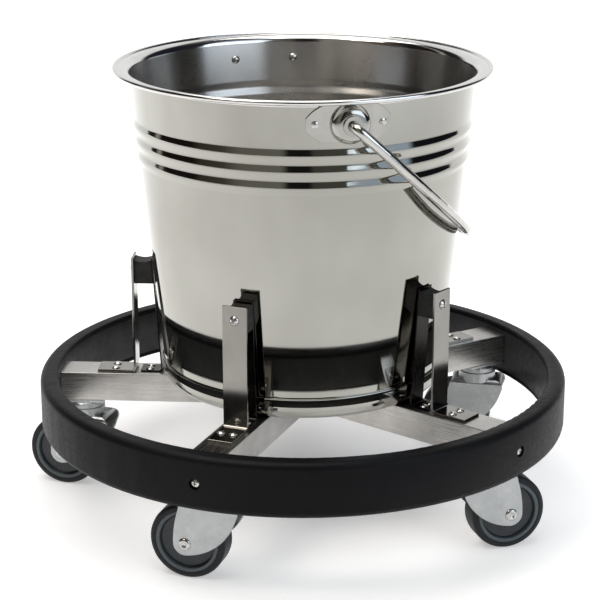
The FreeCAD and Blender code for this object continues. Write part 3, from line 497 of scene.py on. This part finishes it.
closed = turning.add("GeometryNodeMergeByDistance", Geometry=skin.outputs["Geometry"],
                     Distance=turning.given["Weld"])
turn_an_outline = turning.finish(closed.outputs["Geometry"])


def turned(points, name, material, steps_round=48, crease=50.0, weld=1e-6, loop=True):
    """A turned piece in metres from its outline in millimetres; its skin faces outwards."""
    mesh = bpy.data.meshes.new(f"{name}_outline")
    if loop:
        points = points + points[:1]
    mesh.from_pydata([(x / 1000, 0, z / 1000) for x, z in points],
                     [(step, step + 1) for step in range(len(points) - 1)], [])
    made = grown(turn_an_outline, mesh, name, Steps_Round=steps_round, Weld=weld,
                 Material=material)
    skin = bmesh.new()
    skin.from_mesh(made)
    bmesh.ops.dissolve_degenerate(skin, dist=1e-8, edges=skin.edges)
    bmesh.ops.recalc_face_normals(skin, faces=skin.faces)
    if skin.calc_volume(signed=True) < 0:
        bmesh.ops.reverse_faces(skin, faces=skin.faces)
    for face in skin.faces:
        face.smooth = True
    skin.to_mesh(made)
    skin.free()
    made.set_sharp_from_angle(angle=math.radians(crease))
    return made


def domed_rivet(radius, dome, shank, tail, name, material):
    """A domed rivet standing on z = 0: a soft-edged head, and its shank down to the tail."""
    cap = (radius * radius + dome * dome) / (2 * dome)
    edge = math.degrees(math.asin(min(1.0, radius / cap)))
    head = [(x, max(z, 0.0)) for x, z in arc(0, dome - cap, cap, 90, 90 - edge, 7)]
    return turned(
        head + [(radius + 0.05, -0.05), (radius, 0), (shank, 0), (shank, -tail), (0, -tail)],
        name, material, steps_round=20, crease=35, loop=False)


# like fasteners set at the points of a mesh, each along the point's "facing" and turned at random
setting = Tree("set_at_each_place", Fastener="Object", Seed="Int", Material="Material")
facing_way = setting.add("GeometryNodeInputNamedAttribute", {"data_type": "FLOAT_VECTOR"},
                         Name="facing").outputs["Attribute"]
square = setting.add("FunctionNodeAlignRotationToVector", {"axis": "Z"}, Vector=facing_way)
chance = setting.add("FunctionNodeRandomValue", {"data_type": "FLOAT"},
                     Seed=setting.given["Seed"])
chance.inputs["Max"].default_value = math.tau
own_turn = setting.add("ShaderNodeCombineXYZ", Z=chance.outputs["Value"])
turned_way = setting.add("FunctionNodeRotateRotation", {"rotation_space": "LOCAL"},
                         Rotation=square.outputs["Rotation"],
                         Rotate_By=own_turn.outputs["Vector"])
shape = setting.add("GeometryNodeObjectInfo", {"transform_space": "ORIGINAL"},
                    Object=setting.given["Fastener"])
placed = setting.add("GeometryNodeInstanceOnPoints", Points=setting.given["Geometry"],
                     Instance=shape.outputs["Geometry"],
                     Rotation=turned_way.outputs["Rotation"])
set_at_each_place = setting.finish(placed.outputs["Instances"])


def fasteners(name, pattern, spots, material, seed):
    """Sets a fastener at each spot, given as its place and the way that its head faces."""
    points = bpy.data.meshes.new(f"{name}_places")
    points.from_pydata([spot for spot, _ in spots], [], [])
    ways = points.attributes.new("facing", "FLOAT_VECTOR", "POINT")
    ways.data.foreach_set("vector", [part for _, way in spots for part in way])
    sample = new_object(f"{name}_sample", pattern)
    made = grown(set_at_each_place, points, name, Fastener=sample, Seed=seed, Material=material)
    bpy.data.objects.remove(sample)
    made.set_sharp_from_angle(angle=math.radians(35))
    return new_object(name, made)


def arm_way(number):
    angle = math.radians(90 + 360 / ARMS * number)
    return Vector((math.cos(angle), math.sin(angle), 0))


rivet_steel, nodes, links, shader = new_finish("bright_rivet_steel", (0.66, 0.65, 0.62), 0.2, 1.0)
marks = lines_on(nodes, lie_of(nodes), links, along=700.0, across=900.0, cloud=160.0)
toned(nodes, links, shader, marks["Lines"], (0.50, 0.49, 0.47), (0.70, 0.69, 0.66),
      marks["Cloud"], 0.13, 0.32)

UP = Vector((0, 0, 1))
hub_rivet = domed_rivet(
    radius=3.5, dome=2.0, shank=2.0, tail=6.2, name="hub_rivet", material=rivet_steel)
hub_rivets = fasteners("hub_rivet_set", hub_rivet, [
    (arm_way(number) * HUB_RIVET_CIRCLE + UP * HUB_PLATE_TOP, UP)
    for number in range(1, ARMS + 1)], rivet_steel, seed=3)
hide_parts("hub_rivets")
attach(hub_rivets, "frame")


# ---------------------------------------------------------------- castors
# Each arm's end carries a swivel castor: a zinc-plated plate and race on the arm, a pressed
# zinc-plated fork on its king pin, and a grey moulded wheel with a black tyre on a steel axle.
CASTOR_CIRCLE = 0.182
TRAIL = 0.018
AXLE_HEIGHT = 0.030
HEADINGS = (149, 148, 3, 154, 106)
PRESSED_EASE = 0.0006


def zinc_plate(name, cloud):
    material, nodes, links, shader = new_finish(name, (0.50, 0.51, 0.515), 0.3, 1.0)
    marks = lines_on(nodes, lie_of(nodes), links, 160.0, 210.0, cloud)
    toned(nodes, links, shader, marks["Cloud"], (0.37, 0.382, 0.386), (0.44, 0.45, 0.45),
          marks["Lines"], 0.24, 0.40)
    raised(nodes, links, shader, marks["Cloud"], depth=0.00012, strength=0.6)
    return material


zinc_steel = zinc_plate("zinc_plated_steel", 70.0)

axle_steel, nodes, links, shader = new_finish("turned_axle_steel", (0.62, 0.62, 0.61), 0.25, 1.0)
marks = lines_on(nodes, lie_of(nodes), links, along=500.0, across=700.0, cloud=240.0)
toned(nodes, links, shader, marks["Lines"], (0.46, 0.455, 0.44), (0.66, 0.655, 0.64),
      marks["Cloud"], 0.16, 0.38)

# the wheel's raised lip is painted paler than its web, a painted highlight for the light that its
# edges catch
wheel_plastic, nodes, links, shader = new_finish(
    "moulded_wheel_plastic", (0.014, 0.019, 0.024), 0.3)
marks = lines_on(nodes, lie_of(nodes), links, along=300.0, across=300.0, cloud=90.0)
web = two_tones(nodes, links, spread(nodes, links, marks["Cloud"], 0, 1),
                (0.008, 0.011, 0.015), (0.020, 0.026, 0.033))
lip_highlight = nodes.new("ShaderNodeAttribute")
lip_highlight.attribute_name = "lip_highlight"
# the paler colour mixed in here is the lip's painted highlight
lip_highlighted = nodes.new("ShaderNodeMix")
lip_highlighted.data_type = "RGBA"
lip_highlighted.inputs["B"].default_value = (0.085, 0.105, 0.115, 1.0)
links.new(lip_highlight.outputs["Fac"], lip_highlighted.inputs["Factor"])
links.new(web, lip_highlighted.inputs["A"])
links.new(lip_highlighted.outputs["Result"], shader.inputs["Base Color"])
links.new(spread(nodes, links, marks["Lines"], 0.26, 0.42), shader.inputs["Roughness"])
raised(nodes, links, shader, marks["Lines"], depth=0.00006, strength=0.5)

tyre_rubber, nodes, links, shader = new_finish("moulded_tyre_rubber", (0.010, 0.011, 0.012), 0.5)
marks = lines_on(nodes, lie_of(nodes), links, along=420.0, across=420.0, cloud=55.0)
toned(nodes, links, shader, marks["Cloud"], (0.006, 0.007, 0.008), (0.015, 0.018, 0.020),
      marks["Cloud"], 0.40, 0.62)
shader.inputs["Specular IOR Level"].default_value = 0.3
raised(nodes, links, shader, marks["Lines"], depth=0.00008, strength=0.6)

wheel_outline = rounded(
    (4.05, -12.0, 0), (8.5, -12.0, 0.8), (8.5, -10.0, 0.6), (11.5, -7.0, 1.2), (20.9, -6.6, 1.0),
    (22.3, -9.9, 0.7), (25.0, -9.9, 0.4), (25.0, 9.9, 0.4), (22.3, 9.9, 0.7), (20.9, 6.6, 1.0),
    (11.5, 7.0, 1.2), (8.5, 10.0, 0.6), (8.5, 12.0, 0.8), (4.05, 12.0, 0), steps=3)
wheel_mesh = turned(wheel_outline, "castor_wheel", wheel_plastic, steps_round=96)
# this share marks where the wheel's raised lip gets its painted highlight
lip_highlight_share = wheel_mesh.attributes.new("lip_highlight", "FLOAT", "POINT")
lip_highlight_share.data.foreach_set("value", [
    min(1.0, max(0.0, (abs(vertex.co.z) - 0.0085) / 0.0012)) if vertex.co.xy.length > 0.0195
    else 0.0 for vertex in wheel_mesh.vertices])
tyre_outline = rounded(
    (25.0, -10.0, 0.3), (26.6, -10.0, 0.4), (30.0, -9.4, 3.0), (30.0, 9.4, 3.0),
    (26.6, 10.0, 0.4), (25.0, 10.0, 0.3), steps=5)
tyre_mesh = turned(tyre_outline, "castor_tyre", tyre_rubber, steps_round=128)

# the axle's ends are peened over the fork's cheeks, with the punch's dimple in the middle
CHEEK_OUTSIDE = 14.5
AXLE_END = 16.3
half_axle = [(0, AXLE_END - 1.1), (1.3, AXLE_END - 0.95), (2.0, AXLE_END - 0.3), (2.5, AXLE_END),
             (3.3, AXLE_END - 0.05), (4.2, AXLE_END - 0.45), (4.8, AXLE_END - 1.1),
             (5.0, CHEEK_OUTSIDE + 0.2), (5.0, CHEEK_OUTSIDE), (4.0, CHEEK_OUTSIDE)]
axle_mesh = turned(half_axle + [(x, -z) for x, z in reversed(half_axle)], "peened_axle",
                   axle_steel, steps_round=40, crease=45, loop=False)

onto_axle = Matrix.Rotation(math.radians(90), 4, "X")
for number, heading in enumerate(HEADINGS, start=1):
    plate = new_object(f"castor_top_plate_{number}", eased_copy(
        f"castor_plate_{number}", PLATE_EASE, f"castor_top_plate_{number}"))
    plate.data.materials.append(zinc_steel)
    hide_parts(f"castor_plate_{number}")
    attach(plate, "frame")
    fork = new_object(f"pressed_fork_{number}", eased_copy(
        f"castor_fork_{number}", PRESSED_EASE, f"pressed_fork_{number}"))
    fork.data.materials.append(zinc_steel)
    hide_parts(f"castor_fork_{number}")
    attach(fork, f"fork_{number}")
    turn = math.radians(heading)
    hub = arm_way(number) * CASTOR_CIRCLE + Vector(
        (math.cos(turn) * TRAIL, math.sin(turn) * TRAIL, AXLE_HEIGHT))
    place = Matrix.Translation(hub) @ Matrix.Rotation(turn, 4, "Z") @ onto_axle
    for kind, title, pattern, slot, body in (
            ("wheel", "moulded_wheel", wheel_mesh, "wheel_plastic", "wheel"),
            ("tyre", "moulded_tyre", tyre_mesh, "tyre_rubber", "wheel"),
            ("axle", "peened_axle", axle_mesh, "axle_steel", "fork")):
        mesh = pattern.copy()
        mesh.transform(place)
        piece = new_object(f"{title}_{number}", mesh)
        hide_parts(f"castor_{kind}_{number}")
        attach(piece, f"{body}_{number}")


# ---------------------------------------------------------------- hoop and bumper
# A flat steel hoop, painted black, runs round the arms' ends. A thick extruded rubber bumper is
# pressed over it, and a cross-headed screw through both holds each arm.
BUMPER_MIDDLE = 0.088
HOOP_RADII = (200.6, 203.6)
HOOP_HALF = 18
BUMPER_RADIUS = 0.215
SCREW_RECESS = 0.0022
SCREW_SHANK = 2.35

hoop_paint, nodes, links, shader = new_finish("black_hoop_paint", (0.02, 0.02, 0.022), 0.4)
marks = lines_on(nodes, lie_of(nodes), links, along=140.0, across=200.0, cloud=60.0)
toned(nodes, links, shader, marks["Cloud"], (0.016, 0.016, 0.018), (0.035, 0.035, 0.037),
      marks["Lines"], 0.32, 0.55)
raised(nodes, links, shader, marks["Lines"], depth=0.00005, strength=0.5)

hoop_points = rounded(
    (HOOP_RADII[0], -HOOP_HALF, 0.5), (HOOP_RADII[1], -HOOP_HALF, 0.5),
    (HOOP_RADII[1], HOOP_HALF, 0.5), (HOOP_RADII[0], HOOP_HALF, 0.5), steps=2)
hoop_mesh = turned([(x, z + BUMPER_MIDDLE * 1000) for x, z in hoop_points], "arm_end_hoop",
                   hoop_paint, steps_round=256)
arm_end_hoop = new_object("arm_end_hoop", hoop_mesh)
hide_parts("bumper_hoop")
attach(arm_end_hoop, "frame")

bumper_rubber, nodes, links, shader = new_finish("extruded_rubber", (0.0085, 0.0088, 0.011), 0.5)
place = lie_of(nodes)
marks = lines_on(nodes, place, links, along=60.0, across=380.0, cloud=9.0)
grit = nodes.new("ShaderNodeTexNoise")
grit.inputs["Scale"].default_value = 900.0
grit.inputs["Detail"].default_value = 2.0
links.new(place, grit.inputs["Vector"])
links.new(two_tones(nodes, links, spread(nodes, links, marks["Cloud"], 0, 1, 0.35, 0.65),
                    (0.0030, 0.0031, 0.0041), (0.0058, 0.0058, 0.0069)),
          shader.inputs["Base Color"])
links.new(spread(nodes, links, marks["Lines"], 0.40, 0.54), shader.inputs["Roughness"])
shader.inputs["Specular IOR Level"].default_value = 0.12
raised(nodes, links, shader, grit.outputs["Fac"], depth=0.00012, strength=0.5)
bumper_mesh = eased_copy("rubber_bumper", 0.0, "extruded_bumper")
bumper_mesh.set_sharp_from_angle(angle=math.radians(50))
bumper_mesh.materials.append(bumper_rubber)
extruded_bumper = new_object("extruded_bumper", bumper_mesh)
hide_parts("rubber_bumper")
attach(extruded_bumper, "frame")

screw_steel, nodes, links, shader = new_finish("bright_screw_steel", (0.66, 0.66, 0.65), 0.22, 1.0)
marks = lines_on(nodes, lie_of(nodes), links, along=600.0, across=900.0, cloud=200.0)
toned(nodes, links, shader, marks["Lines"], (0.52, 0.515, 0.50), (0.72, 0.715, 0.70),
      marks["Cloud"], 0.15, 0.34)


def cross_head_screw(radius, dome, tail, name):
    """A pan-headed screw standing on z = 0, with a tapered cross recess in its head."""
    pan = domed_rivet(radius, dome, SCREW_SHANK, tail, name, screw_steel)
    head = new_object(name, pan)
    cross = bmesh.new()
    for turn in (0, 90):
        made = bmesh.ops.create_cube(cross, size=1.0)["verts"]
        bmesh.ops.scale(cross, verts=made, vec=(radius * 1.15e-3, radius * 0.26e-3, dome * 1.5e-3))
        for vertex in made:
            if vertex.co.z < 0:
                vertex.co.x *= 0.45
                vertex.co.y *= 0.6
        bmesh.ops.rotate(cross, verts=made, matrix=Matrix.Rotation(math.radians(turn), 3, "Z"))
        bmesh.ops.translate(cross, verts=made, vec=(0, 0, dome * 1.05e-3))
    cross_mesh = bpy.data.meshes.new(f"{name}_cross")
    cross.to_mesh(cross_mesh)
    cross.free()
    cutter = new_object(f"{name}_cross", cross_mesh)
    recess = head.modifiers.new("cross_recess", "BOOLEAN")
    recess.object = cutter
    recess.operation = "DIFFERENCE"
    recess.use_self = True
    made = plain_mesh(head, name)
    bpy.data.objects.remove(cutter)
    return made


bumper_screw = cross_head_screw(radius=4.0, dome=1.6, tail=17.6, name="bumper_screw")
bumper_screws = fasteners("bumper_screw_set", bumper_screw, [
    (arm_way(number) * (BUMPER_RADIUS - SCREW_RECESS) + UP * BUMPER_MIDDLE, arm_way(number))
    for number in range(1, ARMS + 1)], screw_steel, seed=11)
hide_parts("bumper_screws")
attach(bumper_screws, "frame")


# ---------------------------------------------------------------- holders
# On each arm stand a satin upright of flat stainless bar and, leaning on the bucket, a steel
# spring strip whose near-black colour is painted shade and painted reflection, both riveted down
# by a turned-out foot. A rubber block between their tops is held by a cross-headed screw.
UPRIGHT_SCREW_HEIGHT = 0.190
UPRIGHT_FACE = 0.139214
UPRIGHT_RIVETS = ((0.154714, 0.005, 0.105), (0.126402, 0.004, 0.1042))
BAR_EASE = 0.0004
STRIP_EASE = 0.0003
BLOCK_EASE = 0.0006

# the bar's grain runs up the upright, so height stands first
up_first = Matrix(((0, 0, 1, 0), (0, 1, 0, 0), (1, 0, 0, 0), (0, 0, 0, 1))) @ arm_turn
bar_steel = satin_steel("satin_bar_steel", (0.25, 0.243, 0.222), (0.31, 0.30, 0.278), 0.09, 0.16)
# the spring strips' near-black colour is painted shade and painted reflection of the dark
strip_steel_painted_dark = satin_steel(
    "strip_steel_painted_shade", (0.024, 0.022, 0.021), (0.042, 0.038, 0.034), 0.18, 0.30)

block_rubber, nodes, links, shader = new_finish("moulded_block_rubber", (0.012, 0.012, 0.012), 0.6)
marks = lines_on(nodes, lie_of(nodes), links, along=500.0, across=500.0, cloud=120.0)
toned(nodes, links, shader, marks["Cloud"], (0.008, 0.008, 0.008), (0.022, 0.022, 0.021),
      marks["Lines"], 0.5, 0.75)
raised(nodes, links, shader, marks["Lines"], depth=0.0001, strength=0.6)

for stem, title, ease, finish, slot, lie in (
        ("upright", "flat_bar_uprights", BAR_EASE, bar_steel, "satin_steel", up_first),
        ("spring_strip", "leaning_spring_strips", STRIP_EASE, strip_steel_painted_dark, "satin_steel",
         up_first),
        ("rubber_block", "holder_rubber_blocks", BLOCK_EASE, block_rubber, "block_rubber",
         arm_turn)):
    pattern = eased_copy(f"{stem}_5", ease, f"one_{stem}", lie)
    piece = new_object(title, grown(
        repeat_round_axis, pattern, title, Count=ARMS, Material=finish))
    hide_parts(*[f"{stem}_{number}" for number in range(1, ARMS + 1)])
    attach(piece, "frame")

foot_rivet = domed_rivet(
    radius=3.5, dome=2.0, shank=2.0, tail=4.8, name="foot_rivet", material=rivet_steel)
foot_spots = []
for number in range(1, ARMS + 1):
    out = arm_way(number)
    across = Vector((-out.y, out.x, 0))
    for reach, half_pitch, height in UPRIGHT_RIVETS:
        for side in (-1, 1):
            foot_spots.append((out * reach + across * side * half_pitch + UP * height, UP))
foot_rivets = fasteners("foot_rivet_set", foot_rivet, foot_spots, rivet_steel, seed=5)
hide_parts("foot_rivets")
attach(foot_rivets, "frame")

block_screw = cross_head_screw(radius=4.0, dome=2.2, tail=11.9, name="block_screw")
block_screws = fasteners("block_screw_set", block_screw, [
    (arm_way(number) * UPRIGHT_FACE + UP * UPRIGHT_SCREW_HEIGHT, arm_way(number))
    for number in range(1, ARMS + 1)], screw_steel, seed=7)
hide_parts("block_screws")
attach(block_screws, "frame")


# ---------------------------------------------------------------- bucket
# A deep-drawn stainless pail, mirror polished on the lathe: a tapered wall with three rolled
# beads, a flat turned-out rim with a rolled edge, and a folded ring round the foot it stands on.
FOOT_RADIUS = 111.8
SHOULDER_RADIUS = 136.65
SHOULDER = 250.7
SHEET = 1.2
CORNER = 8.0
FLOOR_UNDERSIDE = 8.0
RIM_BEND = 5.0
LIP_RADIUS = 147.5
ROLL = 2.0
PLAIN_WALL = (40, 70, 100, 130, 160)
BEADS = (188.6, 201.0, 213.4)
BEAD_HALF = 6.2
BEAD_RISE = 1.6
BEAD_EASE = 0.2
RIM_FINISH = 2.0
LEVEL = 0.7
lean = math.atan((SHOULDER_RADIUS - FOOT_RADIUS) / SHOULDER)
slope = math.degrees(lean)


def wall_at(height, inside=0.0):
    """Radius of the wall at a height above its foot; inside is measured square to the sheet."""
    return FOOT_RADIUS + math.tan(lean) * height - inside / math.cos(lean)


def beaded_wall(inside, steps=20):
    """The wall's beads from below: straight flanks, eased at the roots and over the crest."""
    points = []
    for middle in BEADS:
        for step in range(steps + 1):
            share = 2 * step / steps - 1
            climb = 1 - abs(share)
            if climb < BEAD_EASE:
                climb = climb ** 2 / (2 * BEAD_EASE)
            elif climb > 1 - BEAD_EASE:
                climb = 1 - BEAD_EASE - (1 - climb) ** 2 / (2 * BEAD_EASE)
            else:
                climb -= BEAD_EASE / 2
            rise = BEAD_RISE * climb / (1 - BEAD_EASE)
            height = middle + share * BEAD_HALF
            points.append((wall_at(height, inside) + rise * math.cos(lean),
                           height - rise * math.sin(lean)))
    return points


bend_x = SHOULDER_RADIUS + RIM_BEND * math.cos(lean)
bend_z = SHOULDER - RIM_BEND * math.sin(lean)
rim_low = bend_z + RIM_BEND
roll_join = math.degrees(math.asin(SHEET / 2 / ROLL))
corner_z = FLOOR_UNDERSIDE + CORNER
corner_x = wall_at(corner_z, CORNER)
pail_outline = (
    [(0, FLOOR_UNDERSIDE)] + arc(corner_x, corner_z, CORNER, -90, -slope, 8)
    + [(wall_at(height), height) for height in PLAIN_WALL]
    + beaded_wall(0.0) + arc(bend_x, bend_z, RIM_BEND, 180 - slope, 90, 8)
    + arc(LIP_RADIUS, rim_low + SHEET / 2, ROLL, roll_join - 180, 180 - roll_join, 24)
    + arc(bend_x, bend_z, RIM_BEND + SHEET, 90, 180 - slope, 10)
    + list(reversed(beaded_wall(SHEET)))
    + [(wall_at(height, SHEET), height) for height in reversed(PLAIN_WALL)]
    + arc(corner_x, corner_z, CORNER - SHEET, -slope, -90, 8)
    + [(60, FLOOR_UNDERSIDE + SHEET), (0, FLOOR_UNDERSIDE + SHEET)])


def above_arms(points):
    return [(x, z + ARM_TOP * 1000) for x, z in points]


def stretched_noise(nodes, links, place, stretch, detail):
    """A noise pressed together or drawn out along each axis."""
    mapping = nodes.new("ShaderNodeMapping")
    mapping.inputs["Scale"].default_value = stretch
    links.new(place, mapping.inputs["Vector"])
    noise = nodes.new("ShaderNodeTexNoise")
    noise.inputs["Scale"].default_value = 1.0
    noise.inputs["Detail"].default_value = detail
    links.new(mapping.outputs["Vector"], noise.inputs["Vector"])
    return noise.outputs["Fac"]


# the outer wall and foot ring take a darker, warmer steel than the inside and rim of the same
# sheet: painted shade for the dim floor they mirror
mirror_steel_painted_dark, nodes, links, shader = new_finish("mirror_pail_steel_painted_dark", STEEL_GREY, 0.1, 1.0)
place = lie_of(nodes)
rings = lines_on(nodes, place, links, along=14.0, across=14.0, cloud=9.0)
ring_lines = stretched_noise(nodes, links, place, (9.0, 9.0, 1500.0), 3.0)
streaks = stretched_noise(nodes, links, place, (26.0, 26.0, 1.3), 2.0)
toned(nodes, links, shader, rings["Cloud"], (0.355, 0.35, 0.315), (0.425, 0.42, 0.388),
      ring_lines, 0.035, 0.075)
wave = raised(nodes, links, shader, streaks, depth=0.0003, strength=0.25)
fine = nodes.new("ShaderNodeBump")
fine.inputs["Distance"].default_value = 0.000006
fine.inputs["Strength"].default_value = 0.5
links.new(ring_lines, fine.inputs["Height"])
links.new(fine.outputs["Normal"], wave.inputs["Normal"])

# inside, the lathe's marks still run round the wall and draw every reflection out up and down
inside_steel, nodes, links, shader = new_finish(
    "turned_inside_steel", (0.52, 0.51, 0.49), 0.3, 1.0)
place = lie_of(nodes)
rings = lines_on(nodes, place, links, along=14.0, across=14.0, cloud=9.0)
toned(nodes, links, shader, rings["Cloud"], (0.47, 0.455, 0.43), (0.56, 0.548, 0.53),
      rings["Lines"], 0.23, 0.28)
shader.inputs["Anisotropic"].default_value = 0.95
shader.inputs["Anisotropic Rotation"].default_value = 0.25
lathe_way = nodes.new("ShaderNodeTangent")
lathe_way.direction_type = "RADIAL"
lathe_way.axis = "Z"
links.new(lathe_way.outputs["Tangent"], shader.inputs["Tangent"])

# the rim's flange and roll take the palest steel of all, a painted highlight for the bright wall
# that they mirror
rim_steel_painted_bright, nodes, links, shader = new_finish("rim_steel_painted_highlight", (0.62, 0.615, 0.60), 0.1, 1.0)
marks = lines_on(nodes, lie_of(nodes), links, along=90.0, across=90.0, cloud=40.0)
toned(nodes, links, shader, marks["Cloud"], (0.66, 0.655, 0.64), (0.74, 0.735, 0.72),
      marks["Lines"], 0.07, 0.14)

pail_mesh = turned(
    above_arms(pail_outline), "drawn_pail", mirror_steel_painted_dark, steps_round=288, crease=60, loop=False)
pail_mesh.materials.append(inside_steel)
pail_mesh.materials.append(rim_steel_painted_bright)
inside_top = ARM_TOP + (SHOULDER - RIM_FINISH) / 1000
inside_bottom = ARM_TOP + (FLOOR_UNDERSIDE + SHEET / 2) / 1000
for face in pail_mesh.polygons:
    inwards = -face.normal.x * face.center.x - face.normal.y * face.center.y
    if inside_bottom < face.center.z < inside_top and (inwards > 0 or face.normal.z > LEVEL):
        face.material_index = 1
    elif face.center.z > inside_top:
        face.material_index = 2
pail = new_object("drawn_pail", pail_mesh)
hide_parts("bucket_shell")
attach(pail, "bucket")

RING_SHEET = 1.5
RING_TOP = 19.0
RING_BEND = 11.0
RING_FLANGE = 5.3
ring_x = wall_at(RING_BEND, -RING_SHEET) - RING_BEND / math.cos(lean)
foot_ring_outline = (
    [(ring_x - RING_FLANGE, 0)] + arc(ring_x, RING_BEND, RING_BEND, -90, -slope, 12)
    + [(wall_at(RING_TOP - 0.7, -RING_SHEET), RING_TOP - 0.7),
       (wall_at(RING_TOP - 0.2, -RING_SHEET + 0.25), RING_TOP - 0.2),
       (wall_at(RING_TOP, -RING_SHEET + 0.7), RING_TOP), (wall_at(RING_TOP, -0.05), RING_TOP)]
    + arc(ring_x, RING_BEND, RING_BEND - RING_SHEET, -slope, -90, 12)
    + [(ring_x - RING_FLANGE, RING_SHEET)])
foot_ring = new_object("folded_foot_ring", turned(
    above_arms(foot_ring_outline), "folded_foot_ring", mirror_steel_painted_dark, steps_round=256))
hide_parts("bucket_base_ring")
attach(foot_ring, "bucket")


# ---------------------------------------------------------------- ears and bail
# Two pressed ears, pointed plates with a domed boss bored for the bail, are riveted through the
# wall. The bail is 8 mm bright bar, bowed over the mouth, its ends turned in to run in the bores.
EAR_HEIGHT = 0.341
EAR_EASE = 0.0003
EAR_RADIUS = 135.3912
RIVET_TURN = 10.79
ear_steel, nodes, links, shader = new_finish("pressed_ear_steel", (0.50, 0.49, 0.47), 0.08, 1.0)
marks = lines_on(nodes, lie_of(nodes), links, along=120.0, across=160.0, cloud=60.0)
toned(nodes, links, shader, marks["Cloud"], (0.39, 0.382, 0.352), (0.47, 0.462, 0.435),
      marks["Lines"], 0.06, 0.11)
raised(nodes, links, shader, marks["Cloud"], depth=0.00008, strength=0.5)
for side in ("front", "rear"):
    mesh = eased_copy(f"ear_{side}", EAR_EASE, f"pressed_ear_{side}", bend=40.0)
    mesh.materials.append(ear_steel)
    ear = new_object(f"pressed_ear_{side}", mesh)
    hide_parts(f"ear_{side}")
    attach(ear, "bucket")

inner_rivet = domed_rivet(
    radius=3.5, dome=2.0, shank=2.0, tail=2.0, name="inner_ear_rivet", material=rivet_steel)
outer_rivet = domed_rivet(
    radius=2.8, dome=1.0, shank=2.0, tail=1.5, name="outer_ear_rivet", material=rivet_steel)
ear_spots = []
for side in (90, 270):
    for turn in (-RIVET_TURN, RIVET_TURN):
        way = Vector((math.cos(math.radians(side + turn)), math.sin(math.radians(side + turn)), 0))
        ear_spots.append(way)
inner_seat = (EAR_RADIUS - SHEET / math.cos(lean) - 0.5) / 1000
outer_seat = (EAR_RADIUS + 1.5 + 0.5) / 1000
for title, pattern, seat, sign, seed in (
        ("ear_rivets_inside", inner_rivet, inner_seat, -1, 13),
        ("ear_rivets_outside", outer_rivet, outer_seat, 1, 17)):
    piece = fasteners(title, pattern, [
        (way * seat + UP * EAR_HEIGHT, way * sign) for way in ear_spots], rivet_steel, seed)
    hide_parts("ear_rivets")
    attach(piece, "bucket")

BAIL_ROD = 8.0
BAIL_BEND = 7.0
BAIL_LEG = 12.0
BAIL_RADIUS = 155.0
BAIL_START = 140.4
BAIL_DROP = 42.6234

# a bar along a path, bent at its corners and bowed at its middle
bowing = Tree("bar_bent_to_a_bow", Bar_Diameter="Float", Bend_Radius="Float", Bow_Steps="Int",
              Material="Material")
line = bowing.add("GeometryNodeMeshToCurve", Mesh=bowing.given["Geometry"])
bent = bowing.add("GeometryNodeFilletCurve", {"mode": "POLY"}, Curve=line.outputs["Curve"],
                  Count=bowing.given["Bow Steps"], Radius=bowing.given["Bend Radius"])
section = bowing.add("GeometryNodeCurvePrimitiveCircle", Resolution=28,
                     Radius=bowing.math("DIVIDE", bowing.given["Bar Diameter"], 2.0))
bar = bowing.add("GeometryNodeCurveToMesh", Curve=bent.outputs["Curve"],
                 Profile_Curve=section.outputs["Curve"])
bar.inputs["Fill Caps"].default_value = True
bar_bent_to_a_bow = bowing.finish(bar.outputs["Mesh"])

bail_steel, nodes, links, shader = new_finish("bright_bail_steel", (0.62, 0.61, 0.59), 0.15, 1.0)
marks = lines_on(nodes, lie_of(nodes), links, along=60.0, across=500.0, cloud=45.0)
toned(nodes, links, shader, marks["Cloud"], (0.50, 0.49, 0.465), (0.61, 0.60, 0.575),
      marks["Lines"], 0.10, 0.22)
raised(nodes, links, shader, marks["Lines"], depth=0.00002, strength=0.4)

bow = [(0, -BAIL_START), (0, -BAIL_RADIUS)]
bow += arc(BAIL_BEND + BAIL_LEG, 0, BAIL_RADIUS, -90, 90, 40)
bow += [(0, BAIL_RADIUS), (0, BAIL_START)]
bail_line = bpy.data.meshes.new("bail_line")
bail_line.from_pydata([(x / 1000, y / 1000, 0) for x, y in bow],
                      [(step, step + 1) for step in range(len(bow) - 1)], [])
bail_mesh = grown(bar_bent_to_a_bow, bail_line, "bright_bail", Bar_Diameter=BAIL_ROD / 1000,
                  Bend_Radius=BAIL_BEND / 1000, Bow_Steps=6, Material=bail_steel)
bail_mesh.transform(Matrix.Translation((0, 0, EAR_HEIGHT))
                    @ Matrix.Rotation(math.radians(BAIL_DROP), 4, "Y"))
for face in bail_mesh.polygons:
    face.use_smooth = True
bail_mesh.set_sharp_from_angle(angle=math.radians(50))
bright_bail = new_object("bright_bail", bail_mesh)
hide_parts("bail")
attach(bright_bail, "bail")
